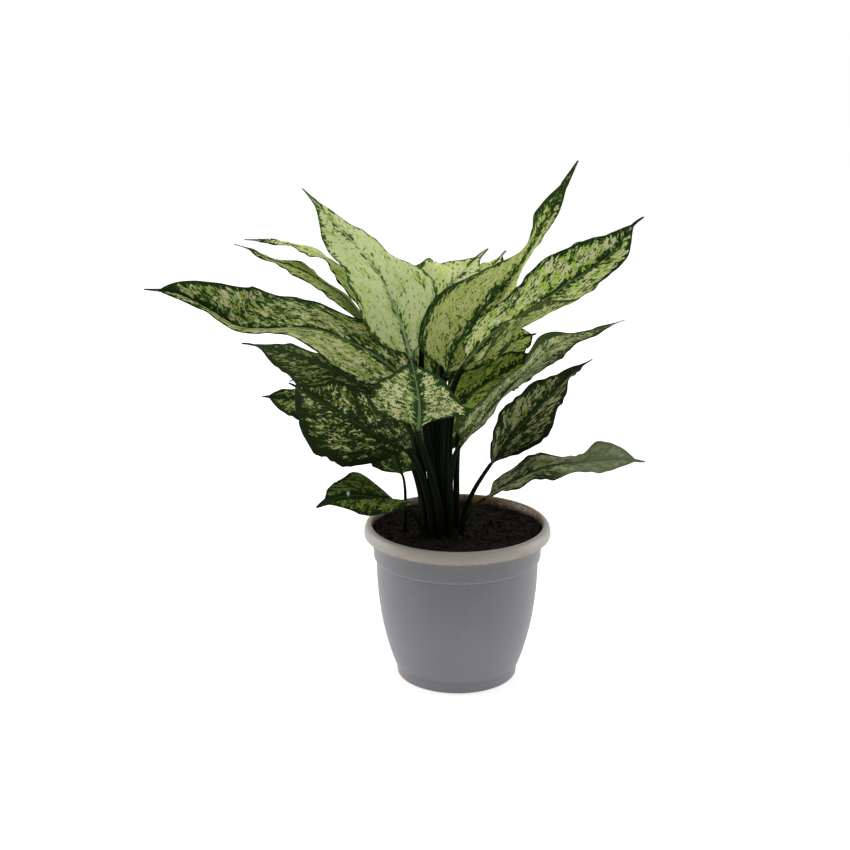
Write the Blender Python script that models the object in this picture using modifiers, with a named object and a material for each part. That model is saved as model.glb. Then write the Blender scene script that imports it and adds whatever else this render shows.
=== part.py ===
"""A potted Chinese evergreen: a round plastic pot, the soil in it, and each leaf on its own stalk.

Metres, +Z up. The origin is the middle of the pot's flat foot, on the surface that it stands on.
-Y is the side that faces the viewer. Sizes here are written in millimetres and scaled by MM.
"""

import math
from typing import NamedTuple

import bmesh
import bpy
import numpy as np

MM = 0.001

# Pot
RIM_RADIUS = 75.0
POT_HEIGHT = 128.0
BEAD_MIDDLE = 120.0
BEAD_REACH = 4.2
BEAD_EDGE = 118.4
BEAD_ANGLES = (-30.0, -4.0, 22.0, 46.0, 68.0, 90.0)
COLLAR_RADIUS = 68.2
COLLAR_FOOT = (67.2, 100.3)
SMALL_STEP = 0.4
FOOT_RADIUS = 49.2
FOOT_HEIGHT = 8.8
WALL = 1.8
FLOOR = 3.4
FLOOR_RADIUS = 44.0
DRAIN_RADIUS = 4.0
DRAIN_CIRCLE = 27.0
DRAIN_COUNT = 4
TURNED_STEPS = 40
MERGE = 0.05

# Belly of the pot below the collar, as radius and height, from the collar down to the foot
BELLY = (
    (65.3, 99.4), (64.9, 84.0), (63.6, 67.0), (61.2, 49.0), (57.8, 33.0), (53.8, 19.0), (50.3, 9.4),
)
BELLY_STEPS = 9

# Inside of the pot at the collar and at the rim, as radius and height
INNER_COLLAR = ((65.4, 100.0), (66.6, 114.0), (68.2, 121.0))
INNER_HEIGHTS = (9.0, 20.0, 34.0, 52.0, 76.0)

# Soil, with low swells all over its top and one dip near the back of the right side
SOIL_TOP = 121.4
SOIL_SIDE_TOP = 115.4
SOIL_RINGS = (0.0, 12.0, 24.0, 36.0, 48.0, 58.0, 66.6)
SWELL_HEIGHT = 1.5
SWELL_PITCH = (0.09, 0.08)
RIPPLE_PITCH = (0.21, 0.17)
RIPPLE_SHARE = 0.4
DIP_PLACE = (34.0, 56.0)
DIP_DEPTH = 2.5
DIP_WIDTH = 12.2
CLEAR = 0.4

# Stalks
STALK_START = 121.0
ROOT_DEPTH = 26.0
STALK_TAPER = 0.68
STALK_STATIONS = 7
HOLE_CLEAR = 0.45
HOLE_SIDES = 10
OVERSHOOT = 2.0

# Blades
BLADE_THICKNESS = 0.7
BODY_END = 0.95
TIP_START = 0.8
TIP_HALF_WIDTH = 0.6
TIP_WIDEST = 2.4
TIP_TAPER = 18.0
RIB_DEPTH = 1.5
RIB_TAPER = 1.3
WAVE_HEIGHT = 1.5
LEFT_WAVE = 0.25
RIGHT_WAVE = 0.6
ACROSS = (-1.0, -0.5, 0.0, 0.5, 1.0)
BLADE_STATIONS = (
    0.0, 0.03, 0.08, 0.14, 0.21, 0.28, 0.35, 0.42, 0.49, 0.56, 0.63, 0.70, 0.77, 0.84, 0.9, 0.955, 1.0,
)
FINE_STATIONS = 61
ARC_STEPS = 8


class Leaf(NamedTuple):
    """One leaf. foot is where its stalk leaves the soil, rib runs from the blade's base to its tip.

    face is the way its upper side looks. left and right say how far each half of the blade is
    lifted towards face, in degrees, at even steps from base to tip; curl is how far a half
    bends between rib and margin, and share makes a half wider or narrower along its length.
    rise and fall shape the outline towards base and tip. waves counts the ripples of the
    margins. stalk is the stalk's radius at the soil, and upright and lead say how strongly it
    keeps the direction of its two ends. tone is the leaf's mean colour, from 0 to 255.
    """

    name: str
    foot: tuple
    rib: tuple
    face: tuple
    half_width: float
    left: tuple
    right: tuple
    rise: float = 0.7
    fall: float = 1.2
    left_share: tuple = (1, 1)
    right_share: tuple = (1, 1)
    left_curl: tuple = (-20, -20)
    right_curl: tuple = (-20, -20)
    waves: float = 4.0
    stalk: float = 3.1
    upright: float = 1.0
    lead: float = 0.7
    tone: tuple = (84, 98, 54)


LEAVES = (
    Leaf(
        "leaf_top_left", foot=(-16.7, -9.4), tone=(149, 164, 100),
        rib=((-37, 2, 263), (-44, 14, 284), (-57, 32, 312), (-76, 50, 337), (-102, 66, 362),
             (-125, 76, 385)),
        face=(0.15, -0.85, 0.5), half_width=38, rise=0.75, fall=1.4,
        left=(0, 30, 35, 0, 20), right=(35, 8, -30, -35, 10), left_share=(1, 1, 1, 0.95, 1.15, 0.5),
        right_share=(1, 1, 1, 1, 1, 0.8),
    ),
    Leaf(
        "leaf_tall", foot=(-13, -3), tone=(120, 133, 71),
        rib=((-9, -5, 252), (-1, -3, 275), (13, 3, 294), (27, 9, 311), (42, 15, 326), (54, 21, 342),
             (65, 27, 362), (77, 33, 383), (93, 39, 411)),
        face=(-0.3, -0.9, 0.3), half_width=37, rise=0.52, fall=1.45,
        left=(25, 5, -22, -45, -55, -5, 10), right=(-30, -35, -50, -90, -90, -30, -10),
        left_share=(1, 1, 1, 1, 1, 1.35, 1), right_share=(1, 1, 1, 0.9, 0.8, 1.05, 1),
    ),
    Leaf(
        "leaf_right_high", foot=(-9.3, -9.4), tone=(114, 126, 80),
        rib=((5, -33, 266), (22, -29, 286), (43, -21, 298), (62, -11, 308), (83, -2, 321), (102, 8, 331),
             (120, 16, 344), (136, 24, 363), (144, 26, 369)),
        face=(-0.2, -0.7, 0.7), half_width=34, rise=0.71, fall=0.95,
        left=(-5, -25, -10, 30, 35), right=(5, 65, 35, 25, 10), right_curl=(160, 160, 20, 0),
    ),
    Leaf(
        "leaf_right_folded", foot=(-5.8, -15.6), stalk=2.8, tone=(92, 102, 66),
        rib=((2, -36, 204), (31, -42, 242), (53, -48, 268), (72, -52, 286), (86, -56, 293),
             (103, -60, 299), (120, -64, 306)),
        face=(-0.5, 0.1, 0.85), half_width=31, rise=0.6, fall=1.1,
        left=(-15, -10, -10, -25, -35, -40, -25), right=(70, 30, 20, 15, 35, 20, 20),
    ),
    Leaf(
        "leaf_right_dark", foot=(4, -4), stalk=2.2, tone=(63, 68, 43),
        rib=((24, -30, 184), (35, -36, 203), (51, -44, 226), (68, -52, 246), (83, -60, 265),
             (97, -66, 277)),
        face=(-0.3, 0.75, 0.6), half_width=28, rise=0.74, fall=1.15,
        left=(20, -10, 5, 25, 20), right=(-60, -20, 5, 15, 0),
    ),
    Leaf(
        "leaf_right_low", foot=(3, -12), stalk=2.2, tone=(96, 103, 75),
        rib=((22, -35, 160), (43, -45, 176), (65, -55, 190), (90, -65, 197), (115, -72, 202),
             (137, -78, 202)),
        face=(0, -0.1, 1), half_width=28, rise=0.7, fall=0.85,
        left=(50, 20, 15, -10, 10, 40, 30), right=(5, 5, 0, 0, 0, -15, -30),
    ),
    Leaf(
        "leaf_left_long", foot=(-20.4, -3), tone=(88, 99, 58),
        rib=((-44, -1, 250), (-68, -5, 268), (-94, -7, 281), (-109, -9, 287), (-128, -11, 289),
             (-151, -13, 288), (-170, -15, 291), (-193, -17, 306), (-215, -17, 317), (-239, -17, 320)),
        face=(0.1, -0.75, 0.75), half_width=38, rise=0.62, fall=0.85,
        left=(-15, 15, 50, 50, 35), right=(10, -22, -14, 32, 35), right_share=(1, 0.95, 1, 1.05, 1),
    ),
    Leaf(
        "leaf_front", foot=(-13, -17.4), tone=(113, 121, 77),
        rib=((-31, -76, 228), (-30, -94, 242), (-30, -125, 262), (-32, -158, 284), (-35, -191, 306)),
        face=(0, 0.6, 0.8), half_width=36, rise=0.72, fall=1.05,
        left=(15, -5, -20, -10, 20), right=(5, 0, 0, 5, 20),
    ),
    Leaf(
        "leaf_left_narrow", foot=(-25.5, 4.2), tone=(72, 88, 44),
        rib=((-53, 51, 251), (-74, 55, 277), (-90, 59, 297), (-107, 63, 309), (-127, 67, 320),
             (-152, 71, 328), (-168, 73, 336), (-181, 75, 340)),
        face=(0.3, -0.1, 1), half_width=33, rise=0.7, fall=1.2,
        left=(10, 15, 5, 5, 5), right=(-5, -15, -15, 0, -20),
    ),
    Leaf(
        "leaf_left_back", foot=(-20.2, 9.5), tone=(112, 126, 80),
        rib=((-48, 41, 264), (-67, 49, 287), (-83, 59, 310), (-99, 69, 326), (-120, 77, 334),
             (-146, 83, 340), (-174, 87, 342)),
        face=(0.3, -0.1, 1), half_width=26, rise=0.7, fall=1.2,
        left=(5, 10, 10, 5, -10), right=(-5, -15, -25, 0, 20),
    ),
    Leaf(
        "leaf_back_pale", foot=(-16.7, 3.4), tone=(132, 152, 84),
        rib=((-26, 33, 274), (-20, 49, 287), (-14, 65, 299), (-1, 83, 309), (13, 101, 320), (27, 115, 330)),
        face=(-0.1, -0.8, 0.6), half_width=34, rise=0.65, fall=1.4,
        left=(15, 20, 30, -5, -5), right=(15, 15, 15, 10, 5),
    ),
    Leaf(
        "leaf_back_tip", foot=(-9.3, 3.4), tone=(86, 106, 50),
        rib=((-4, 52, 280), (7, 73, 295), (19, 95, 306), (32, 118, 315), (43, 136, 325)),
        face=(-0.2, -0.6, 0.8), half_width=30, rise=0.7, fall=1.2,
        left=(20, 15, 10, -5, -15), right=(15, 15, 15, 20, 20),
    ),
    Leaf(
        "leaf_left_middle", foot=(-27.6, -3), tone=(54, 68, 34),
        rib=((-50, 21, 216), (-78, 13, 238), (-104, 4, 256), (-126, -2, 266), (-147, -8, 273),
             (-167, -12, 277)),
        face=(0.2, 0.3, 1), half_width=30, rise=0.73, fall=1.05,
        left=(0, 5, 10, 15, 30), right=(0, -25, -50, -35, -20), right_share=(1, 1, 1, 1.3, 1.2),
    ),
    Leaf(
        "leaf_left_tip", foot=(-25.5, -10.2), tone=(66, 78, 44),
        rib=((-58, 12, 205), (-85, 18, 215), (-110, 24, 221), (-134, 28, 223), (-157, 30, 224)),
        face=(0.2, -0.2, 1), half_width=28, rise=0.73, fall=0.85,
        left=(5, 0, -10, -25, -30), right=(0, 0, 0, 5, 20),
    ),
    Leaf(
        "leaf_front_left", foot=(-20.2, -15.6), tone=(53, 62, 35),
        rib=((-41, -23, 195), (-57, -40, 209), (-75, -63, 227), (-93, -87, 245), (-109, -110, 262),
             (-121, -126, 274)),
        face=(0.5, 0.7, 0.6), half_width=37, rise=0.71, fall=1,
        left=(-5, 5, 25, 50, 55), right=(-45, -60, -60, -25, 5),
    ),
    Leaf(
        "leaf_left_low", foot=(-28, -17), stalk=2.1, tone=(62, 73, 39),
        rib=((-44, -42, 155), (-56, -56, 165), (-71, -72, 173), (-83, -86, 178), (-93, -97, 179),
             (-105, -104, 175)),
        face=(0, -0.4, 1), half_width=28, rise=0.68, fall=1.3,
        left=(30, 25, -5, -30, -15), right=(0, 5, 5, -15, -10), right_share=(1, 1.25, 1.45, 1.4),
    ),
    Leaf(
        "leaf_small", foot=(-42, 2), stalk=1.5, tone=(48, 60, 30),
        rib=((-44, 3, 166), (-48, -2, 177), (-52, -7, 192), (-58, -12, 208), (-64, -16, 221)),
        face=(0.3, 0.9, 0.3), half_width=20, rise=0.7, fall=1.2,
        left=(-15, -5, 0, 0, 0), right=(-5, -15, -10, 0, 0),
    ),
    Leaf(
        "leaf_right_inner", foot=(-5.8, 9.5), tone=(84, 108, 46),
        rib=((0, 45, 235), (15, 55, 244), (30, 67, 252), (46, 77, 258), (67, 87, 263)),
        face=(-0.4, -0.5, 0.8), half_width=32, rise=0.75, fall=0.8,
        left=(15, 15, 15, 25, 35), right=(15, 10, 5, 15, 15), lead=0.4,
    ),
    Leaf(
        "leaf_right_under", foot=(-5.6, -3), tone=(62, 82, 36),
        rib=((-2, 2, 221), (8, 8, 230), (21, 16, 237), (36, 24, 244), (52, 30, 252), (70, 34, 261)),
        face=(-0.4, -0.6, 0.8), half_width=30, rise=0.68, fall=1.2,
        left=(10, -5, -5, 10, 15), right=(-10, 15, 10, 15, 15), lead=0.35,
    ),
    Leaf(
        "leaf_back_right", foot=(-0.5, 4.2), stalk=2.8,
        rib=((6, 29, 208), (18, 49, 225), (30, 71, 235), (42, 93, 237), (52, 113, 231)),
        face=(0, -0.1, 1), half_width=28, rise=0.7, fall=1.2,
        left=(12, 18, 15, 10, 10), right=(12, 18, 15, 10, 10),
    ),
    Leaf(
        "leaf_back_left", foot=(-28, 12), stalk=2.6,
        rib=((-52, 50, 203), (-76, 74, 215), (-100, 98, 221), (-125, 121, 219), (-145, 139, 209)),
        face=(0.1, -0.1, 1), half_width=30, rise=0.7, fall=1.2,
        left=(12, 18, 15, 10, 10), right=(12, 18, 15, 10, 10),
    ),
    Leaf(
        "leaf_back_middle", foot=(-13, 11.4),
        rib=((-14, 71, 222), (-13, 100, 244), (-10, 131, 258), (-6, 161, 264), (0, 189, 260)),
        face=(0.1, -0.3, 1), half_width=32, rise=0.7, fall=1.2,
        left=(12, 18, 15, 10, 10), right=(12, 18, 15, 10, 10),
    ),
    Leaf(
        "leaf_back_low", foot=(-9, 18), stalk=2.4,
        rib=((-14, 44, 168), (-18, 68, 180), (-24, 94, 186), (-32, 118, 184), (-38, 140, 174)),
        face=(0, -0.1, 1), half_width=26, rise=0.7, fall=1.2,
        left=(12, 18, 15, 10, 10), right=(12, 18, 15, 10, 10),
    ),
)


def clear_scene():
    """Remove every object, and the collections that an earlier run made."""
    for thing in list(bpy.data.objects):
        bpy.data.objects.remove(thing, do_unlink=True)
    for group in list(bpy.data.collections):
        bpy.data.collections.remove(group)


def new_collection(name):
    """Make a collection in the scene."""
    group = bpy.data.collections.new(name)
    bpy.context.scene.collection.children.link(group)
    return group


def linear(tone):
    """Change a screen colour from 0 to 255 into the linear values that a shader takes."""
    screen = np.asarray(tone, float) / 255.0
    return np.where(screen > 0.04045, ((screen + 0.055) / 1.055) ** 2.4, screen / 12.92)


def finish(name, tone, roughness, metallic=0.0):
    """Make a Principled material from a screen colour."""
    material = bpy.data.materials.new(name)
    material.use_nodes = True
    shader = material.node_tree.nodes["Principled BSDF"]
    shader.inputs["Base Color"].default_value = (*linear(tone), 1.0)
    shader.inputs["Roughness"].default_value = roughness
    shader.inputs["Metallic"].default_value = metallic
    return material


def add_object(name, points, edges, faces, group, material):
    """Put points in millimetres, with edges or faces, into a new object of the collection."""
    mesh = bpy.data.meshes.new(name)
    mesh.from_pydata([tuple(p) for p in np.asarray(points) * MM], edges, faces)
    mesh.materials.append(material)
    thing = bpy.data.objects.new(name, mesh)
    group.objects.link(thing)
    return thing


def unit(vectors):
    """Scale vectors to length 1."""
    return vectors / np.linalg.norm(vectors, axis=-1, keepdims=True)


def through(values, t):
    """Read a smooth cubic through evenly spaced values at t, from 0 to 1."""
    knots = np.asarray(values, float)
    knots = knots.reshape(len(knots), -1)
    place = np.clip(np.asarray(t, float), 0.0, 1.0) * (len(knots) - 1)
    i = np.clip(np.floor(place).astype(int), 0, len(knots) - 2)
    f = (place - i)[:, None]
    padded = np.concatenate([[2 * knots[0] - knots[1]], knots, [2 * knots[-1] - knots[-2]]])
    a, b, c, d = padded[i], padded[i + 1], padded[i + 2], padded[i + 3]
    return b + 0.5 * f * (c - a + f * (2 * a - 5 * b + 4 * c - d + f * (3 * (b - c) + d - a)))


def by_length(points, t, fine=240):
    """Read the smooth curve through points at even shares t of its length."""
    curve = through(points, np.linspace(0.0, 1.0, fine + 1))
    run = np.concatenate([[0.0], np.cumsum(np.linalg.norm(np.diff(curve, axis=0), axis=1))])
    return np.stack([np.interp(t * run[-1], run, curve[:, k]) for k in range(3)], axis=1)


def outline(leaf, t):
    """Half-width along the rib: rising from the base, falling to a long thin tip."""
    peak = leaf.rise / (leaf.rise + leaf.fall)
    u = np.clip(t / BODY_END, 0.0, 1.0)
    body = leaf.half_width * (u / peak) ** leaf.rise * ((1 - u) / (1 - peak)) ** leaf.fall
    thread = np.minimum(TIP_HALF_WIDTH + TIP_TAPER * (1 - t), TIP_WIDEST)
    return np.maximum(body, np.where(t > TIP_START, thread, TIP_HALF_WIDTH))


def half_blade(lift, curl, h):
    """Distance out from the rib and up towards face, for the share h of a half bent in an arc."""
    out = np.zeros((len(lift), 2))
    for k in range(ARC_STEPS):
        angle = lift + curl * ((k + 0.5) / ARC_STEPS * h - 0.5)
        out += np.stack([np.cos(angle), np.sin(angle)], axis=1) * h / ARC_STEPS
    return out


def frames(spine, face):
    """Side and normal along a curve, with the normal kept near face."""
    tangent = unit(np.gradient(spine, axis=0))
    normal = unit(face - (tangent @ face)[:, None] * tangent)
    return np.cross(tangent, normal), normal


def blade_surface(leaf, t):
    """Middle surface of the blade, as rows along the rib and columns across it."""
    fine = np.linspace(0.0, 1.0, FINE_STATIONS)
    spine = by_length(leaf.rib, fine)
    rib, side, normal = (
        np.stack([np.interp(t, fine, part[:, k]) for k in range(3)], axis=1)
        for part in (spine, *frames(spine, np.array(leaf.face, float)))
    )
    side, normal = unit(side), unit(normal)
    width = outline(leaf, t)[:, None]
    ripple = WAVE_HEIGHT * np.sqrt(np.sin(np.pi * t))
    grid = np.empty((len(t), len(ACROSS), 3))
    for column, s in enumerate(ACROSS):
        if s < 0:
            way, angles, curls, share, start = -1.0, leaf.left, leaf.left_curl, leaf.left_share, LEFT_WAVE
        else:
            way, angles, curls, share, start = 1.0, leaf.right, leaf.right_curl, leaf.right_share, RIGHT_WAVE
        half = width * through(share, t)
        lift = np.radians(through(angles, t))[:, 0]
        curl = np.radians(through(curls, t))[:, 0]
        run = half_blade(lift, curl, abs(s))
        upward = normal * np.cos(lift)[:, None] - side * (way * np.sin(lift))[:, None]
        wave = ripple * s * s * np.sin(2 * np.pi * (leaf.waves * t + start))
        place = rib + side * way * half * run[:, :1] + normal * half * run[:, 1:]
        grid[:, column] = place + upward * wave[:, None]
    return grid, rib, side, normal


def blade_rings(leaf):
    """Ten-point rings round the blade: five on the upper face, five on the lower, alike."""
    t = np.array(BLADE_STATIONS)
    grid, rib, side, normal = blade_surface(leaf, t)
    along = np.gradient(grid, t, axis=0)
    across = np.gradient(grid, axis=1)
    up = unit(np.cross(across, along))
    up[:, 0] = unit(up[:, 0] + up[:, 1])
    up[:, -1] = unit(up[:, -1] + up[:, -2])
    upper = grid + up * BLADE_THICKNESS / 2
    lower = grid - up * BLADE_THICKNESS / 2
    middle = len(ACROSS) // 2
    depth = RIB_DEPTH * (1 - t) ** RIB_TAPER
    lower[:, middle] -= up[:, middle] * depth[:, None]
    return np.concatenate([upper, lower[:, ::-1]], axis=1), rib, side, normal


def stalk_curve(leaf, rib):
    """The stalk from the soil to the blade, leaving the soil upright and meeting the rib in line."""
    foot = np.array([*leaf.foot, STALK_START])
    base = rib[0]
    heading = unit(rib[1] - rib[0])
    span = np.linalg.norm(base - foot)
    t = np.linspace(0.0, 1.0, STALK_STATIONS)[:, None]
    rise = np.array([0.0, 0.0, 1.0]) * span * leaf.upright
    return ((2 * t**3 - 3 * t**2 + 1) * foot + (t**3 - 2 * t**2 + t) * rise
            + (3 * t**2 - 2 * t**3) * base + (t**3 - t**2) * heading * span * leaf.lead)


def stalk_rings(leaf, rib, side):
    """Round rings from the root's end up to just below the blade, turned as the blade is."""
    path = stalk_curve(leaf, rib)
    root = path[0] - np.array([0.0, 0.0, ROOT_DEPTH])
    path = np.concatenate([[root], path])
    heading = unit(np.gradient(path, axis=0))
    heading[:2] = (0.0, 0.0, 1.0)
    turned = [side[0]]
    for direction in heading[-2::-1]:
        turned.append(unit(turned[-1] - (turned[-1] @ direction) * direction))
    out = np.array(turned[::-1])
    up = np.cross(out, heading)
    share = np.linspace(0.0, 1.0, STALK_STATIONS)
    radius = leaf.stalk * np.concatenate([[1.0], 1.0 + (STALK_TAPER - 1.0) * share])
    count = 2 * len(ACROSS)
    angle = np.pi - (np.arange(count) + 0.5) * 2 * np.pi / count
    ring = out[:, None] * np.cos(angle)[:, None] + up[:, None] * np.sin(angle)[:, None]
    return (path[:, None] + ring * radius[:, None, None])[:-1]


def loft_faces(rows, size):
    """Triangles between rings, split alike on the two faces of the blade, with a cap at each end."""
    faces = []
    for i in range(rows - 1):
        for j in range(size):
            a, b = i * size + j, i * size + (j + 1) % size
            c, d = a + size, b + size
            if j < size // 2:
                faces += [(a, c, d), (a, d, b)]
            else:
                faces += [(a, c, b), (b, c, d)]
    faces.append(tuple(range(size)))
    faces.append(tuple(range(rows * size - 1, (rows - 1) * size - 1, -1)))
    return faces


def make_leaf(leaf, group):
    """One leaf with its stalk as a single loft from round root to thin tip."""
    rings, rib, side, normal = blade_rings(leaf)
    points = np.concatenate([stalk_rings(leaf, rib, side), rings])
    faces = loft_faces(len(points), 2 * len(ACROSS))
    green = finish(leaf.name + "_green", leaf.tone, 0.45)
    thing = add_object(leaf.name, points.reshape(-1, 3), [], faces, group, green)
    edit = bmesh.new()
    edit.from_mesh(thing.data)
    bmesh.ops.triangulate(edit, faces=[f for f in edit.faces if len(f.verts) > 4])
    bmesh.ops.recalc_face_normals(edit, faces=edit.faces)
    edit.to_mesh(thing.data)
    edit.free()
    thing.data.shade_smooth()
    return thing


def inner_profile(clear=0.0):
    """The pot's inside from the middle of its floor to just under the rim, moved inwards by clear."""
    radii, heights = zip(*BELLY[::-1])
    belly = [(float(np.interp(z, heights, radii)) - WALL, z) for z in INNER_HEIGHTS]
    floor = [(0.0, FLOOR + clear), (FLOOR_RADIUS - clear, FLOOR + clear)]
    return floor + [(r - clear, z) for r, z in (*belly, *INNER_COLLAR)]


def pot_profile():
    """Inner floor, up the inner wall, over the rolled rim and down the outside to the foot."""
    rise = POT_HEIGHT - BEAD_MIDDLE
    middle = RIM_RADIUS - BEAD_REACH
    rim = [(middle + BEAD_REACH * math.sin(a), BEAD_MIDDLE + rise * math.cos(a))
           for a in np.radians(BEAD_ANGLES)]
    under = [
        (RIM_RADIUS - 2 * SMALL_STEP, BEAD_EDGE),
        (RIM_RADIUS - 4 * SMALL_STEP, BEAD_EDGE - SMALL_STEP),
        (COLLAR_RADIUS, BEAD_EDGE - 2 * SMALL_STEP),
    ]
    collar = [COLLAR_FOOT, (COLLAR_FOOT[0] - SMALL_STEP, COLLAR_FOOT[1] - SMALL_STEP)]
    belly = [tuple(p) for p in through(BELLY, np.linspace(0.0, 1.0, BELLY_STEPS))]
    foot = [
        (FOOT_RADIUS, FOOT_HEIGHT),
        (FOOT_RADIUS - SMALL_STEP, 2 * SMALL_STEP),
        (FOOT_RADIUS - 3 * SMALL_STEP, 0.0),
        (0.0, 0.0),
    ]
    return inner_profile() + rim + under + collar + belly + foot


def turn(name, profile, group, material):
    """Turn a profile of radius and height about the pot's axis with a Screw modifier."""
    points = [(r, 0.0, z) for r, z in profile]
    edges = [(k, k + 1) for k in range(len(points) - 1)]
    thing = add_object(name, points, edges, [], group, material)
    screw = thing.modifiers.new("Turn", "SCREW")
    screw.steps = screw.render_steps = TURNED_STEPS
    screw.use_merge_vertices = True
    screw.merge_threshold = MERGE * MM
    screw.use_smooth_shade = True
    return thing


def rods(name, places, low, high, group):
    """Upright rods as one cutter, drawn as wire; places holds the x, y and radius of each."""
    edit = bmesh.new()
    for x, y, radius in places:
        made = bmesh.ops.create_cone(edit, cap_ends=True, segments=HOLE_SIDES, radius1=radius * MM,
                                     radius2=radius * MM, depth=(high - low) * MM)
        bmesh.ops.translate(edit, verts=made["verts"], vec=(x * MM, y * MM, (low + high) / 2 * MM))
    mesh = bpy.data.meshes.new(name)
    edit.to_mesh(mesh)
    edit.free()
    thing = bpy.data.objects.new(name, mesh)
    thing.hide_render = True
    thing.display_type = "WIRE"
    group.objects.link(thing)
    return thing


def cut(thing, cutter):
    """Subtract a cutter from a piece."""
    step = thing.modifiers.new("Cut " + cutter.name, "BOOLEAN")
    step.operation = "DIFFERENCE"
    step.object = cutter


def make_pot(group, cutters):
    """The turned pot with drain holes round the middle of its floor."""
    pot = turn("pot", pot_profile(), group, finish("grey_plastic", (112, 112, 115), 0.42))
    angles = [2 * math.pi * (k + 0.5) / DRAIN_COUNT for k in range(DRAIN_COUNT)]
    places = [(DRAIN_CIRCLE * math.cos(a), DRAIN_CIRCLE * math.sin(a), DRAIN_RADIUS) for a in angles]
    cut(pot, rods("drain_cutter", places, -OVERSHOOT, FLOOR + OVERSHOOT, cutters))
    return pot


def soil_height(x, y):
    """Height of the soil's uneven top: low swells, finer ripples, and one dip."""
    swell = math.sin(SWELL_PITCH[0] * x + 2.2) * math.cos(SWELL_PITCH[1] * y - 0.9)
    ripple = RIPPLE_SHARE * math.sin(RIPPLE_PITCH[0] * x - RIPPLE_PITCH[1] * y)
    away = math.hypot(x - DIP_PLACE[0], y - DIP_PLACE[1]) / DIP_WIDTH
    return SOIL_TOP + SWELL_HEIGHT * (swell + ripple) - DIP_DEPTH * math.exp(-away * away / 2)


def make_soil(group, cutters):
    """Soil turned to fill the pot, its top raised by a formula, with a plain hole for each root."""
    walls = [point for point in inner_profile(CLEAR)[1:] if point[1] < SOIL_SIDE_TOP]
    profile = [(r, SOIL_TOP) for r in SOIL_RINGS] + walls[::-1] + [(0.0, FLOOR + CLEAR)]
    edit = bmesh.new()
    verts = [edit.verts.new((r, 0.0, z)) for r, z in profile]
    edges = [edit.edges.new(pair) for pair in zip(verts, verts[1:])]
    bmesh.ops.spin(edit, geom=verts + edges, cent=(0, 0, 0), axis=(0, 0, 1), angle=2 * math.pi,
                   steps=TURNED_STEPS)
    bmesh.ops.remove_doubles(edit, verts=edit.verts, dist=MERGE)
    for vert in edit.verts:
        if vert.co.z > SOIL_SIDE_TOP:
            vert.co.z = soil_height(vert.co.x, vert.co.y)
    bmesh.ops.triangulate(edit, faces=edit.faces)
    bmesh.ops.recalc_face_normals(edit, faces=edit.faces)
    bmesh.ops.scale(edit, verts=edit.verts, vec=(MM, MM, MM))
    soil = add_object("soil", [], [], [], group, finish("dark_soil", (22, 20, 18), 0.95))
    edit.to_mesh(soil.data)
    edit.free()
    roots = [(*leaf.foot, leaf.stalk + HOLE_CLEAR) for leaf in LEAVES]
    bottom = STALK_START - ROOT_DEPTH - CLEAR
    cut(soil, rods("root_cutter", roots, bottom, POT_HEIGHT + OVERSHOOT, cutters))
    return soil


def main():
    """Build the pot, the soil and the leaves."""
    clear_scene()
    parts = new_collection("potted_chinese_evergreen")
    cutters = new_collection("cutters")
    make_pot(parts, cutters)
    make_soil(parts, cutters)
    for leaf in LEAVES:
        make_leaf(leaf, parts)


main()
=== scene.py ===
"""Looks of a potted Chinese evergreen: mottled leaves on grooved stalks, crumbly soil, a grey pot.

Every leaf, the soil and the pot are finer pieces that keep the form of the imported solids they
replace. Sizes are in millimetres and are scaled by MM where a mesh is made; places in the studio
are in metres.
"""

import logging
import math
from collections.abc import Callable
from dataclasses import dataclass, field, replace
from enum import Enum
from typing import Any

import bmesh
import bpy
import numpy as np
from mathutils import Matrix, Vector
from numpy.typing import NDArray


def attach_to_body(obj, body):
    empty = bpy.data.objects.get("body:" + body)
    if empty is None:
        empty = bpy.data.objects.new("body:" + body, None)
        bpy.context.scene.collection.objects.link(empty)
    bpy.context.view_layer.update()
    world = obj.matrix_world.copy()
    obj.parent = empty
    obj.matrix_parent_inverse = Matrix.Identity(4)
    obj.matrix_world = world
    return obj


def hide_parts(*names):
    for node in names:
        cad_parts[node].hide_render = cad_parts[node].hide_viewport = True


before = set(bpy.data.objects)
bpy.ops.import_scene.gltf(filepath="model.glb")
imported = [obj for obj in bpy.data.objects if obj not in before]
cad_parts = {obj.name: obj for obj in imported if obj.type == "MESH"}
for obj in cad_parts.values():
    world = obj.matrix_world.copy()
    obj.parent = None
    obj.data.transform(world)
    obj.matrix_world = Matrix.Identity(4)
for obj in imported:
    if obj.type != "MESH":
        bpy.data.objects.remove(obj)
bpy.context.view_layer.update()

LOG = logging.getLogger("potted_chinese_evergreen")
Array = NDArray[np.float64]
Colour = tuple[float, float, float]
Point = tuple[float, float, float]

MM = 0.001
BODY = "root"

# Stalks and blades, as in the solids
STALK_START = 121.0
ROOT_DEPTH = 26.0
STALK_TAPER = 0.68
BLADE_THICKNESS = 0.7
BODY_END = 0.95
TIP_START = 0.8
TIP_HALF_WIDTH = 0.6
TIP_WIDEST = 2.4
TIP_TAPER = 18.0
RIB_DEPTH = 1.5
RIB_TAPER = 1.3
WAVE_HEIGHT = 1.5
LEFT_WAVE = 0.25
RIGHT_WAVE = 0.6
FINE_STATIONS = 61
ARC_STEPS = 8

# The grid of a fine leaf, and how its rings crowd at the rib and at both ends
BLADE_ROWS = 121
STALK_ROWS = 34
COLUMNS = 35
RING = 2 * COLUMNS
END_CROWDING = 0.4
RIB_CROWDING = 1.45
JOIN_RUN = 9.0

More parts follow.
